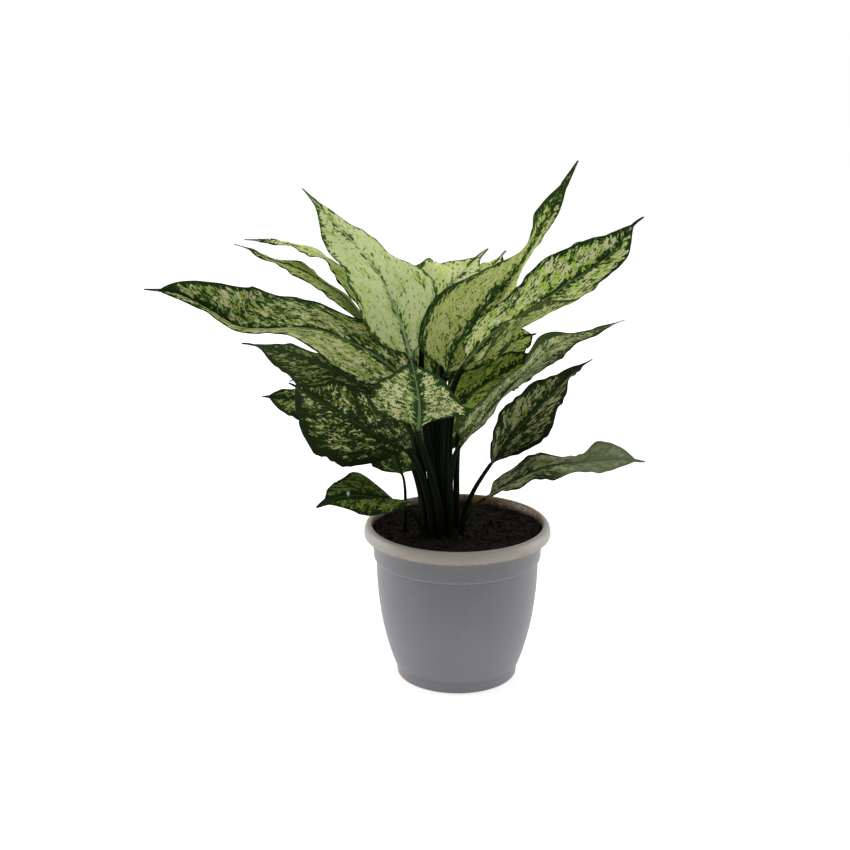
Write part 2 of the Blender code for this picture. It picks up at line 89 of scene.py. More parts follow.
# The fine relief of a blade: side veins, ruffles, uneven margins, and the midrib's two sides
VEIN_PITCH = 9.0
VEIN_SLOPE = 0.8
VEIN_BEND = 0.008
VEIN_START = 6.0
QUILT_HEIGHT = 0.22
QUILT_LEVEL = 0.6
RUFFLE_HEIGHT = 0.55
RUFFLE_BEAT = 2.3
LOBES = ((0.06, 13.0, 2), (0.03, 5.0, 4))
MARGIN_THINNING = 0.22
GROOVE_DEPTH = 0.4
GROOVE_REACH = (0.5, 0.7)
RIDGE_REACH = (0.5, 1.5)

# The stalk's groove towards the blade, and its flattened foot
STALK_GROOVE = 0.24
STALK_GROOVE_ANGLE = 0.4
SHEATH = 0.05

# The leaf pattern: how far its marks lean along the side veins, and how they are bent
VEIN_SKEW = 1.6
MARK_TWIST = 0.7
STALK_SHADE: Colour = (12, 16, 9)
STALK_LIGHT: Colour = (38, 48, 27)
NICK_RIM: Colour = (92, 70, 52)
NICK_DRY: Colour = (196, 192, 194)
LEAF_IOR = 1.03


class Slot(Enum):
    """The record's material slots."""

    POT = "pot_plastic"
    SOIL = "potting_soil"
    PALE = "pale_leaf"
    MOTTLED = "mottled_leaf"
    DARK = "dark_leaf"


def linear(tone: Colour) -> Colour:
    """Change a screen colour into the linear values that a shader takes.

    Args:
        tone: red, green and blue from 0 to 255.

    Returns:
        The same colour, linear, from 0 to 1.
    """
    screen = np.asarray(tone, float) / 255.0
    return tuple(np.where(screen > 0.04045, ((screen + 0.055) / 1.055) ** 2.4, screen / 12.92))


def unit(vectors: Array) -> Array:
    """Scale vectors to length 1."""
    return vectors / np.linalg.norm(vectors, axis=-1, keepdims=True)


def smooth_step(low: float, high: float, value: Array) -> Array:
    """Rise from 0 at low to 1 at high along 3f^2 - 2f^3."""
    share = np.clip((value - low) / (high - low), 0.0, 1.0)
    return share * share * (3.0 - 2.0 * share)


def through(values: Any, t: Array) -> Array:
    """Read a smooth cubic through evenly spaced values.

    The cubic between two knots leaves each along half the difference of its neighbours.

    Args:
        values: the knots, as numbers or points.
        t: where to read, from 0 to 1.

    Returns:
        One row for each t.
    """
    knots = np.asarray(values, float)
    knots = knots.reshape(len(knots), -1)
    place = np.clip(t, 0.0, 1.0) * (len(knots) - 1)
    i = np.clip(np.floor(place).astype(int), 0, len(knots) - 2)
    f = (place - i)[:, None]
    padded = np.concatenate([[2 * knots[0] - knots[1]], knots, [2 * knots[-1] - knots[-2]]])
    a, b, c, d = padded[i], padded[i + 1], padded[i + 2], padded[i + 3]
    return b + 0.5 * f * (c - a + f * (2 * a - 5 * b + 4 * c - d + f * (3 * (b - c) + d - a)))


def along_curve(points: tuple[Point, ...], t: Array, fine: int = 240) -> tuple[Array, float]:
    """Read the smooth curve through points at even shares of its length.

    Args:
        points: the curve's knots.
        t: shares of the length, from 0 to 1.
        fine: how many short chords the length is summed from.

    Returns:
        The places, and the whole length.
    """
    curve = through(points, np.linspace(0.0, 1.0, fine + 1))
    run = np.concatenate([[0.0], np.cumsum(np.linalg.norm(np.diff(curve, axis=0), axis=1))])
    places = np.stack([np.interp(t * run[-1], run, curve[:, k]) for k in range(3)], axis=1)
    return places, float(run[-1])


def lattice_noise(points: Array, pitch: float, seed: int) -> Array:
    """Smooth random relief: a hashed value at each corner of a lattice, eased between corners.

    Args:
        points: places, one row each.
        pitch: the lattice's spacing, in the points' own units.
        seed: chooses the pattern.

    Returns:
        Values from -1 to 1.
    """
    place = np.asarray(points, float) / pitch
    cell = np.floor(place).astype(np.int64)
    share = place - cell
    share = share * share * (3.0 - 2.0 * share)
    total = np.zeros(len(place))
    for corner in range(8):
        step = np.array([corner & 1, corner >> 1 & 1, corner >> 2 & 1])
        x, y, z = (cell + step).T
        code = (x * 374761393 + y * 668265263 + z * 1274126177 + seed * 974634599) & 0xFFFFFFFF
        code = ((code ^ (code >> 13)) * 1103515245) & 0xFFFFFFFF
        code = ((code ^ (code >> 16)) * 668265263) & 0xFFFFFFFF
        value = ((code >> 8) & 0xFFFF) / 32767.5 - 1.0
        total += value * np.prod(np.where(step, share, 1.0 - share), axis=1)
    return total


def make_piece(name: str, points: Array, faces: list[list[int]],
               maps: dict[str, Array] | None = None) -> bpy.types.Object:
    """Put points in millimetres and faces into a smooth-shaded object at the origin.

    Args:
        name: the piece's name.
        points: one row for each vertex.
        faces: vertex numbers of each face.
        maps: UV maps, with a pair of values for each vertex.

    Returns:
        The new object, linked to the scene.
    """
    mesh = bpy.data.meshes.new(name)
    mesh.from_pydata((points * MM).tolist(), [], faces)
    corners = np.empty(len(mesh.loops), np.int64)
    mesh.loops.foreach_get("vertex_index", corners)
    for label, values in (maps or {}).items():
        layer = mesh.uv_layers.new(name=label)
        layer.uv.foreach_set("vector", values[corners].astype(np.float32).ravel())
    mesh.shade_smooth()
    mesh.update()
    thing = bpy.data.objects.new(name, mesh)
    bpy.context.scene.collection.objects.link(thing)
    return thing


def ring_faces(rows: int, size: int) -> list[list[int]]:
    """Quads between closed rings, with a fan to one more vertex at each end.

    Args:
        rows: how many rings follow each other.
        size: the points of each ring.

    Returns:
        Faces that point out where the rings run clockwise, seen along their path.
    """
    i, j = np.meshgrid(np.arange(rows - 1), np.arange(size), indexing="ij")
    a, b = i * size + j, i * size + (j + 1) % size
    quads = np.stack([a, b, b + size, a + size], axis=-1).reshape(-1, 4).tolist()
    k = np.arange(size)
    after = (k + 1) % size
    last = (rows - 1) * size
    start = np.stack([np.full(size, rows * size), after, k], axis=1).tolist()
    end = np.stack([np.full(size, rows * size + 1), last + k, last + after], axis=1).tolist()
    return quads + start + end


def ring_angles() -> Array:
    """Angles of a leaf ring's points, from the left margin over the upper side and back."""
    return np.pi - (np.arange(RING) + 0.5) * 2 * np.pi / RING


def attach(thing: bpy.types.Object, material: bpy.types.Material,
           nodes: tuple[str, ...] = ()) -> None:
    """Give a piece its material, let it ride on the part and stand for its nodes.

    Args:
        thing: the finished piece.
        material: its finish.
        nodes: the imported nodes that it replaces.
    """
    thing.data.materials.clear()
    thing.data.materials.append(material)
    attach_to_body(thing, BODY)
    if nodes:
        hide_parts(*nodes)
    LOG.info("%s: %d faces", thing.name, len(thing.data.polygons))


def math_method(operation: str, swapped: bool = False) -> Callable[..., "Value"]:
    """Make a method of Value that adds one Math node.

    Args:
        operation: the node's operation.
        swapped: whether the number comes first, as in a reflected operator.

    Returns:
        The method.
    """
    def method(self: "Value", *others: Any) -> "Value":
        """Add the node with this value and the others as its inputs."""
        terms = (*others, self) if swapped else (self, *others)
        return self.shader.math(operation, *terms)
    return method


class Value:
    """A number socket of a shader. Python's operators add Math nodes."""

    def __init__(self, shader: "Shader", socket: bpy.types.NodeSocket) -> None:
        """Keep the shader and the socket that gives the number."""
        self.shader = shader
        self.socket = socket

    __add__ = math_method("ADD")
    __radd__ = math_method("ADD", swapped=True)
    __sub__ = math_method("SUBTRACT")
    __rsub__ = math_method("SUBTRACT", swapped=True)
    __mul__ = math_method("MULTIPLY")
    __rmul__ = math_method("MULTIPLY", swapped=True)
    __truediv__ = math_method("DIVIDE")
    __abs__ = math_method("ABSOLUTE")
    sign = math_method("SIGN")
    root = math_method("SQRT")
    cosine = math_method("COSINE")
    most = math_method("MAXIMUM")

    def ease(self, low: Any, high: Any) -> "Value":
        """Rise smoothly from 0 at low to 1 at high; fall where high is less than low.

        Args:
            low: where the result is 0.
            high: where the result is 1.

        Returns:
            A number from 0 to 1.
        """
        node = self.shader.node(
            "ShaderNodeMapRange", {"interpolation_type": "SMOOTHSTEP"},
            {"Value": self, "From Min": low, "From Max": high},
        )
        return Value(self.shader, node.outputs[0])


class Shader:
    """A material whose nodes are written as expressions and end in one Principled shader."""

    def __init__(self, name: str) -> None:
        """Start an empty material with its Principled shader and its output.

        Args:
            name: the material's name.
        """
        self.material = bpy.data.materials.new(name)
        self.material.use_nodes = True
        self.tree = self.material.node_tree
        self.tree.nodes.clear()
        self.principled = self.node("ShaderNodeBsdfPrincipled", {}, {})
        output = self.node("ShaderNodeOutputMaterial", {}, {})
        self.tree.links.new(self.principled.outputs[0], output.inputs["Surface"])

    def node(self, kind: str, settings: dict[str, Any], sockets: dict[Any, Any]) -> bpy.types.Node:
        """Add a node.

        Args:
            kind: the node's type.
            settings: its properties, set before its sockets.
            sockets: values or links of its inputs, by name or number.

        Returns:
            The node.
        """
        node = self.tree.nodes.new(kind)
        for name, value in settings.items():
            setattr(node, name, value)
        for key, value in sockets.items():
            target = node.inputs[key]
            if isinstance(value, Value):
                self.tree.links.new(value.socket, target)
            elif isinstance(value, bpy.types.NodeSocket):
                self.tree.links.new(value, target)
            elif isinstance(value, tuple) and len(value) == 3 and target.type == "RGBA":
                target.default_value = (*value, 1.0)
            else:
                target.default_value = value
        return node

    def math(self, operation: str, *terms: Any) -> Value:
        """Add a Math node.

        Args:
            operation: the node's operation.
            terms: its inputs, in order.

        Returns:
            The node's result.
        """
        node = self.node("ShaderNodeMath", {"operation": operation}, dict(enumerate(terms)))
        return Value(self, node.outputs[0])

    def split(self, vector: bpy.types.NodeSocket) -> tuple[Value, Value, Value]:
        """Take a vector apart into three numbers."""
        node = self.node("ShaderNodeSeparateXYZ", {}, {0: vector})
        return tuple(Value(self, out) for out in node.outputs)

    def join(self, x: Any, y: Any, z: Any) -> bpy.types.NodeSocket:
        """Put three numbers together into a vector."""
        return self.node("ShaderNodeCombineXYZ", {}, {0: x, 1: y, 2: z}).outputs[0]

    def uv(self, name: str) -> tuple[Value, Value]:
        """The two numbers of a UV map."""
        node = self.node("ShaderNodeUVMap", {"uv_map": name}, {})
        return self.split(node.outputs[0])[:2]

    def place(self) -> tuple[Value, Value, Value]:
        """The point on the object.

        Returns:
            Its three numbers, in millimetres.
        """
        node = self.node("ShaderNodeTexCoord", {}, {})
        scaled = self.node("ShaderNodeVectorMath", {"operation": "SCALE"},
                           {0: node.outputs["Object"], "Scale": 1.0 / MM})
        return self.split(scaled.outputs[0])

    def noise(self, vector: bpy.types.NodeSocket, scale: float = 1.0, detail: float = 2.0,
              rough: float = 0.5, twist: float = 0.0) -> Value:
        """Fractal noise from about 0.25 to 0.75.

        Args:
            vector: where to read it.
            scale: cells for each unit of the vector.
            detail: how many finer layers it has.
            rough: how strong each finer layer is.
            twist: how far its shapes are bent.

        Returns:
            The noise's value.
        """
        node = self.node(
            "ShaderNodeTexNoise", {"noise_dimensions": "3D"},
            {"Vector": vector, "Scale": scale, "Detail": detail, "Roughness": rough,
             "Distortion": twist},
        )
        return Value(self, node.outputs[0])

    def cells(self, vector: bpy.types.NodeSocket, scale: float = 1.0) -> Value:
        """Distance to the nearest of scattered points."""
        node = self.node("ShaderNodeTexVoronoi", {"feature": "F1"},
                         {"Vector": vector, "Scale": scale})
        return Value(self, node.outputs["Distance"])

    def mix(self, first: Any, second: Any, share: Any) -> bpy.types.NodeSocket:
        """Blend two colours.

        Args:
            first: linear colour or link, where share is 0.
            second: linear colour or link, where share is 1.
            share: the blend.

        Returns:
            The blended colour.
        """
        node = self.node("ShaderNodeMix", {"data_type": "RGBA"}, {0: share, 6: first, 7: second})
        return node.outputs[2]

    def bump(self, height: Value, distance: float, strength: float) -> None:
        """Feed a Bump node to the shader's Normal; distance is in metres."""
        node = self.node("ShaderNodeBump", {},
                         {"Height": height, "Distance": distance, "Strength": strength})
        self.tree.links.new(node.outputs[0], self.principled.inputs["Normal"])

    def surface(self, colour: bpy.types.NodeSocket, roughness: Value) -> None:
        """Link what varies over the surface to the Principled shader."""
        self.tree.links.new(colour, self.principled.inputs["Base Color"])
        self.tree.links.new(roughness.socket, self.principled.inputs["Roughness"])

    def constant(self, name: str, value: Any) -> None:
        """Set one of the Principled shader's own sockets."""
        self.principled.inputs[name].default_value = value


@dataclass(frozen=True)
class LeafFinish:
    """Mottled leaf tissue: pale blotches, streaks and specks that follow the side veins.

    Colours are screen colours from 0 to 255. Sizes are in millimetres.

    pale, fresh: the two tints of the light tissue; tint makes more of it fresh, and blend
        softens the two.
    green, dark: the two tints of the rest. rib and under colour the midrib and the underside;
    a grey rib is a painted highlight.
    bias: more of the blade is pale above 0, and less below; halves does so on each half.
    streak, grain: how much longer than wide a blotch is, and how large.
    specks, depth: how many dots the pale tissue has, and how dark they are.
    clouds: how uneven the pattern is over the blade.
    rims, spine: widths of the dark bands at the left and the right margin, and at the midrib;
        whole is 1 where the spine is unbroken. rib_width is the midrib's own half-width.
    plain: how much of the pattern the underside lacks. edge is how soft the blotches end.
    scar: a dry white nick: its place across and along the blade, and its radius.
    fade, faded: how far a painted grey sheen covers the pattern in the outer half of the blade,
    and the sheen's colour.
    """

    slot: Slot
    pale: Colour = (170, 172, 118)
    fresh: Colour = (134, 156, 70)
    green: Colour = (74, 100, 40)
    dark: Colour = (34, 48, 26)
    rib: Colour = (92, 108, 66)
    under: Colour = (112, 128, 62)
    bias: float = 0.0
    halves: tuple[float, float] = (0.0, 0.0)
    tint: float = 0.5
    blend: float = 0.06
    streak: float = 2.2
    grain: float = 1.0
    specks: float = 0.5
    depth: float = 0.6
    clouds: float = 0.22
    rims: tuple[float, float] = (3.0, 3.0)
    spine: float = 2.5
    whole: float = 0.5
    rib_width: float = 1.3
    plain: float = 0.4
    edge: float = 0.022
    scar: Point | None = None
    painted_sheen: float = 0.0
    sheen_tint: Colour = (112, 122, 92)

    def make(self, name: str, seed: float) -> bpy.types.Material:
        """Build the material.

        A coarse and a fine noise are read in the blade's own plane, along curves that follow the
        side veins. Where their sum passes a threshold the blade is pale. The threshold rises
        towards the margin and the midrib and falls between the side veins.

        Args:
            name: the material's name.
            seed: moves the pattern, so that no two leaves are alike.

        Returns:
            The material.
        """
        s = Shader(name)
        x, y = s.uv("flat")
        across, along = s.uv("share")
        margin, upper = s.uv("edge")
        away = abs(x)
        vein = y - VEIN_SLOPE * away - VEIN_BEND * away * away
        side = x.sign() * 31.0 + seed

        def marks(size: float, streak: float, shift: float, detail: float = 2.0) -> Value:
            """Noise in blots that are drawn out along the side veins.

            Args:
                size: the blots' width in millimetres.
                streak: how much longer than wide they are.
                shift: moves the pattern.
                detail: how many finer layers it has.

            Returns:
                The noise's value.
            """
            per_mm = 1.0 / (size * self.grain)
            down = away * (per_mm * VEIN_SKEW / streak)
            return s.noise(s.join(vein * per_mm, down, side + shift), detail=detail,
                           twist=MARK_TWIST)

        # Layers of the pattern, from the smallest marks to the largest
        dot = marks(2.3, 1.1, 5.0, 1.0)
        fleck = marks(2.7, self.streak * 0.8, 3.0, 1.0)
        ragged = marks(3.6, 1.3, 11.0) - 0.5
        broken = marks(6.0, 1.2, 29.0, 1.0).ease(0.4, 0.6) * (1.0 - self.whole) + self.whole
        hue = marks(6.7, self.streak, 19.0) + (self.tint - 0.5)
        blotch = marks(7.0, self.streak, 7.0)
        cloud = marks(15.0, 1.3, 23.0, 1.0)
        rows = (vein * (2 * math.pi / VEIN_PITCH)).cosine()

        # Dark bands; narrow parts of the blade have none at the margin
        left, right = self.rims
        width = x.ease(-2.0, 2.0) * (right - left) + left
        outer = abs(across).ease(0.15, 0.6)
        rim = ((margin - ragged * 14.0) / width).ease(1.5, 0.2) * outer
        spine = ((away - ragged * 12.0) / self.spine).ease(1.6, 0.2)
        spine = spine * broken * (1.0 - outer * 0.7)
        tip = along.ease(0.86, 1.0)

        # How pale the tissue is; 0.5 is the threshold
        level = blotch * 0.46 + fleck * 0.54 + rows * 0.015 + (cloud - 0.5) * self.clouds
        low_half, high_half = self.halves
        level = level + x.ease(-1.0, 1.0) * (high_half - low_half) + (self.bias + low_half)
        level = level - rim * 0.3 - spine * 0.28 - tip * 0.05
        is_pale = level.ease(0.5 - self.edge, 0.5 + self.edge)
        is_green = (level + (dot - 0.5) * 0.3).ease(0.38, 0.47)
        low = rim * 0.1 + spine * 0.06 + (0.26 + 0.12 * self.specks)
        speck = (dot - low).ease(0.035, -0.015) * is_pale
        edging = (margin - ragged * 4.0).ease(1.3, 0.3) * outer * 0.75

        pale, fresh, green, dark = (
            linear(tone) for tone in (self.pale, self.fresh, self.green, self.dark)
        )
        light = s.mix(pale, fresh, hue.ease(0.5 - self.blend, 0.5 + self.blend))
        blade = s.mix(s.mix(dark, green, is_green), light, is_pale)
        blade = s.mix(blade, s.mix(green, dark, self.depth), speck)
        blade = s.mix(blade, dark, edging)
        # Painted sheen: a grey tint over the outer half of the blade
        blade = s.mix(blade, linear(self.sheen_tint), along.ease(0.45, 0.75) * self.painted_sheen)
        if self.scar:
            blade = self.nick(s, blade, x, y)
        # The midrib in its rib colour; a grey rib is a painted highlight
        band = (1.15 - along) * self.rib_width
        blade = s.mix(blade, linear(self.rib), away.ease(band, band * 0.6) * 0.8)
        plain = s.mix(blade, linear(self.under), self.plain)
        blade = s.mix(plain, blade, upper.ease(0.3, 0.7))

        stripe = s.noise(s.join(across * 4.0, y * 0.02, side), detail=2.0)
        stripe = stripe.ease(0.42, 0.75) * (1.0 + along * 0.8)
        stalk = s.mix(linear(STALK_SHADE), linear(STALK_LIGHT), stripe)
        sheen = s.noise(s.join(x * 0.2, y * 0.2, side), detail=2.0)
        pores = s.noise(s.join(x, y, side), scale=1.6, detail=2.0)
        s.surface(s.mix(stalk, blade, along.ease(-0.05, 0.035)), sheen * 0.2 + 0.34)
        s.bump(pores + fleck * 0.5, 0.0003, 0.4)
        s.constant("IOR", LEAF_IOR)
        return s.material

    def nick(self, s: Shader, blade: bpy.types.NodeSocket, x: Value,
             y: Value) -> bpy.types.NodeSocket:
        """Lay the dry nick over the blade: an oval at 45 degrees to the rib with a brown rim.

        Args:
            s: the blade's shader.
            blade: its colour so far.
            x: distance from the rib.
            y: distance along it.

        Returns:
            The colour with the nick.
        """
        at_x, at_y, radius = self.scar
        off_x, off_y = x - at_x, y - at_y
        length = (off_x - off_y) * 0.175
        width = (off_x + off_y) * 0.7
        apart = (length * length + width * width).root()
        blade = s.mix(blade, linear(NICK_RIM), apart.ease(radius * 1.5, radius))
        return s.mix(blade, linear(NICK_DRY), apart.ease(radius, radius * 0.5))


# PALE's grey rib is a painted highlight.
PALE = LeafFinish(
    Slot.PALE, pale=(189, 199, 144), fresh=(162, 185, 101), green=(112, 142, 66), dark=(58, 82, 40),
    rib=(150, 162, 126), under=(150, 164, 96), bias=0.13, tint=0.42, blend=0.14, streak=1.3,
    grain=1.5, specks=0.66, depth=0.35, rims=(3.2, 2.8), spine=3.4, whole=0.0, rib_width=1.6,
    plain=0.2,
)
# A lighter copy of PALE: painted light on a leaf that sits in shadow behind the others.
PALE_PAINTED_LIGHT = replace(PALE, pale=(204, 212, 150), fresh=(184, 202, 112), bias=0.17)
OLIVE = LeafFinish(
    Slot.MOTTLED, pale=(170, 176, 112), fresh=(152, 165, 86), green=(84, 108, 46),
    dark=(36, 56, 26), rib=(44, 62, 30), bias=0.11, blend=0.12, streak=1.3, grain=1.1, specks=0.8,
    depth=0.8, clouds=0.12, rims=(7.0, 4.0), spine=4.5, rib_width=1.0, plain=0.1,
)
CREAM = LeafFinish(
    Slot.MOTTLED, pale=(184, 182, 138), fresh=(136, 156, 70), green=(74, 102, 40),
    dark=(32, 50, 26), streak=1.7, specks=0.7, rims=(3.5, 3.5), spine=3.0, plain=0.1,
)
MARBLED = replace(
    CREAM, pale=(194, 193, 148), fresh=(158, 181, 84), bias=0.035, streak=1.4, grain=1.1,
    under=(154, 167, 88), plain=0.18,
)
STREAKED = replace(
    CREAM, fresh=(138, 154, 78), bias=0.04, streak=1.2, grain=1.15, rims=(2.5, 3.5), clouds=0.35,
    halves=(0.01, -0.05),
)
FRONT = replace(
    CREAM, pale=(172, 170, 128), fresh=(118, 138, 64), bias=0.0, tint=0.42, grain=1.3, streak=1.1,
    rims=(4.0, 4.0), spine=3.5, plain=0.0,
)
NARROW = replace(
    CREAM, pale=(192, 200, 128), fresh=(156, 180, 74), bias=0.06, grain=0.8, rims=(2.0, 4.0),
)
SLIM = replace(
    CREAM, pale=(206, 214, 146), fresh=(172, 194, 98), bias=0.11, rims=(1.5, 2.5), spine=1.5,
)
SILVER = LeafFinish(
    Slot.MOTTLED, pale=(154, 154, 116), fresh=(122, 132, 84), green=(72, 90, 52), dark=(36, 50, 30),
    streak=1.6, grain=0.8, specks=0.5, rims=(3.0, 2.0), plain=0.1, edge=0.035,
)
# FOLDED's grey rib is a painted highlight.
FOLDED = replace(
    SILVER, pale=(182, 184, 136), fresh=(140, 152, 96), dark=(36, 52, 29), bias=0.01, grain=0.9,
    rims=(3.0, 9.0), spine=1.5, edge=0.02, rib=(104, 114, 84),
)
# HAZY's grey outer half is a painted sheen.
HAZY = replace(SILVER, dark=(32, 44, 24), grain=1.15, clouds=0.45, rims=(3.0, 3.0), painted_sheen=0.7)
FRESH = LeafFinish(
    Slot.DARK, pale=(158, 174, 88), fresh=(132, 157, 62), green=(74, 98, 36), dark=(30, 46, 20),
    rib=(56, 74, 32), under=(84, 104, 40), bias=0.03, streak=1.5, specks=0.6, rims=(3.0, 3.0),
    spine=3.0, plain=0.1,
)
INNER = replace(FRESH, slot=Slot.MOTTLED, pale=(166, 176, 112), bias=0.06)
LOW = replace(
    FRESH, pale=(110, 127, 63), fresh=(94, 114, 46), green=(48, 66, 26), dark=(26, 40, 18),
    bias=-0.01, edge=0.04, rims=(2.5, 2.5), spine=4.5, whole=0.9, scar=(2.5, 61.0, 1.2),
)
DARK = LeafFinish(
    Slot.DARK, pale=(140, 142, 96), fresh=(92, 108, 50), green=(48, 62, 28), dark=(23, 34, 17),
    rib=(44, 58, 30), under=(70, 86, 40), bias=-0.05, streak=1.6, grain=0.85, specks=0.2,
    rims=(4.0, 4.0), spine=3.0, plain=0.05,
)
SPRAYED = replace(
    DARK, pale=(172, 174, 120), fresh=(128, 146, 72), green=(66, 84, 40), dark=(32, 46, 24),
    bias=0.0,
)
DIM = replace(
    DARK, pale=(134, 140, 94), fresh=(104, 120, 62), dark=(36, 50, 28), bias=-0.03, streak=2.2,
)
MURKY = replace(
    DARK, pale=(124, 124, 88), fresh=(94, 108, 50), green=(42, 56, 26), bias=-0.02, tint=0.42,
    grain=1.15, specks=0.5, streak=1.4, plain=0.0, clouds=0.35,
)
DOTTED = replace(
    DARK, pale=(170, 168, 120), fresh=(100, 118, 54), bias=-0.06, streak=1.1, grain=1.05,
    rims=(3.0, 6.0), clouds=0.3,
)


@dataclass(frozen=True)
class Leaf:
    """One leaf with its stalk, and its finish. Lengths are in millimetres, angles in degrees.

    foot: where its stalk leaves the soil. rib: from the blade's base to its tip.
    face: the way its upper side looks.
    left, right: how far each half is lifted towards face, from base to tip. Of each half, curl is
        how far it bends between rib and margin, and share makes it wider or narrower.
    rise, fall: the outline's powers at the base and at the tip.
    waves, ruffle: how many ripples the margins have, and how strong they are.
    stalk: the stalk's radius at the soil. upright and lead say how strongly it keeps the
        direction of its two ends.
    """

    name: str
    finish: LeafFinish
    foot: tuple[float, float]
    rib: tuple[Point, ...]
    face: Point
    half_width: float
    left: tuple[float, ...]
    right: tuple[float, ...]
    rise: float = 0.7
    fall: float = 1.2
    left_share: tuple[float, ...] = (1, 1)
    right_share: tuple[float, ...] = (1, 1)
    left_curl: tuple[float, ...] = (-20, -20)
    right_curl: tuple[float, ...] = (-20, -20)
    waves: float = 4.0
    ruffle: float = 1.0
    stalk: float = 3.1
    upright: float = 1.0
    lead: float = 0.7

    def outline(self, t: Array) -> Array:
        """Half-width along the rib.

        It is a power of the distance from the base times a power of the distance from the tip,
        and never less than a thread that thins towards the tip.

        Args:
            t: share of the rib's length.

        Returns:
            Half-widths in millimetres.
        """
        peak = self.rise / (self.rise + self.fall)
        u = np.clip(t / BODY_END, 0.0, 1.0)
        body = self.half_width * (u / peak) ** self.rise * ((1 - u) / (1 - peak)) ** self.fall
        thread = np.minimum(TIP_HALF_WIDTH + TIP_TAPER * (1 - t), TIP_WIDEST)
        return np.maximum(body, np.where(t > TIP_START, thread, TIP_HALF_WIDTH))

    def lobes(self, run: Array, seed: float, way: Array) -> Array:
        """Uneven margin: two waves of noise along the blade that widen or narrow each half.

        Args:
            run: distance along the rib in millimetres.
            seed: chooses the leaf's own noise.
            way: -1 on the left half and 1 on the right half, on the grid.

        Returns:
            The added share of the half-width, on the grid.
        """
        halves = []
        for half in (-1.0, 1.0):
            at = np.stack(np.broadcast_arrays(run, 40.0 * seed, 9.0 * half), axis=1)
            halves.append(sum(share * lattice_noise(at, pitch, key) for share, pitch, key in LOBES))
        return np.where(way < 0, halves[0][:, None], halves[1][:, None])

    def frames(self, t: Array) -> tuple[Array, Array, Array, float]:
        """The rib's places with the directions across the blade and out of it.

        Args:
            t: share of the rib's length.

        Returns:
            Places, sideways directions, outward directions, and the rib's length.
        """
        fine = np.linspace(0.0, 1.0, FINE_STATIONS)
        spine, length = along_curve(self.rib, fine)
        face = np.array(self.face, float)
        tangent = unit(np.gradient(spine, axis=0))
        normal = unit(face - (tangent @ face)[:, None] * tangent)
        side = np.cross(tangent, normal)
        rib, side, normal = (
            np.stack([np.interp(t, fine, part[:, k]) for k in range(3)], axis=1)
            for part in (spine, side, normal)
        )
        return rib, unit(side), unit(normal), length

    def blade(self, t: Array, s: Array, seed: float) -> tuple[Array, Array, Array, Array, float]:
        """Middle surface of the blade as a function of t along the rib and s across it.

        Each half runs out from the rib along an arc. Its ripple grows with the square of s, a
        finer ruffle with its cube, and low ridges rise between the side veins. All three lift the
        surface along the arc's own outward direction.

        Args:
            t: shares of the rib's length, from 0 to 1.
            s: shares of the half-width, from -1 to 1.
            seed: shifts the ruffle.

        Returns:
            The grid of places, the sideways and outward directions, the signed distance from the
            rib, and the rib's length.
        """
        rib, side, normal, length = self.frames(t)
        is_left = s < 0
        way = np.where(is_left, -1.0, 1.0)
        h = np.abs(s)

        def pick(left: tuple[float, ...], right: tuple[float, ...]) -> Array:
            """Read the left or the right half's values on the grid."""
            return np.where(is_left, through(left, t), through(right, t))

        half = self.outline(t)[:, None] * pick(self.left_share, self.right_share)
        half = half * (1 + self.ruffle * self.lobes(t * length, seed, way))
        lift = np.radians(pick(self.left, self.right))
        curl = np.radians(pick(self.left_curl, self.right_curl))
        out = np.zeros_like(half)
        rise = np.zeros_like(half)
        for k in range(ARC_STEPS):
            angle = lift + curl * ((k + 0.5) / ARC_STEPS * h - 0.5)
            out = out + np.cos(angle) * h / ARC_STEPS
            rise = rise + np.sin(angle) * h / ARC_STEPS
        size = np.sqrt(np.sin(np.pi * t))[:, None]
        start = np.where(is_left, LEFT_WAVE, RIGHT_WAVE)
        turns = self.waves * t[:, None]
        wave = WAVE_HEIGHT * h * h * np.sin(2 * np.pi * (turns + start))
        beat = 2 * np.pi * (RUFFLE_BEAT * turns + 0.37 * seed + 0.4 * way)
        fine = RUFFLE_HEIGHT * h**3 * np.sin(beat + 1.6 * np.sin(0.43 * beat))
        away = half * h
        vein = t[:, None] * length - VEIN_SLOPE * away - VEIN_BEND * away * away
        ridge = np.abs(np.sin(np.pi * vein / VEIN_PITCH)) - QUILT_LEVEL
        quilt = QUILT_HEIGHT * ridge * np.minimum(away / VEIN_START, 1.0) * np.sqrt(1.001 - h)
        lifted = size * (self.ruffle * (wave + fine) + quilt)

        def place(sideways: Array, outward: Array) -> Array:
            """Vectors with these amounts of the sideways and the outward direction."""
            return side[:, None] * sideways[..., None] + normal[:, None] * outward[..., None]

        grid = rib[:, None] + place(way * half * out, half * rise)
        grid = grid + place(-way * np.sin(lift) * lifted, np.cos(lift) * lifted)
        return grid, side, normal, way * away, length

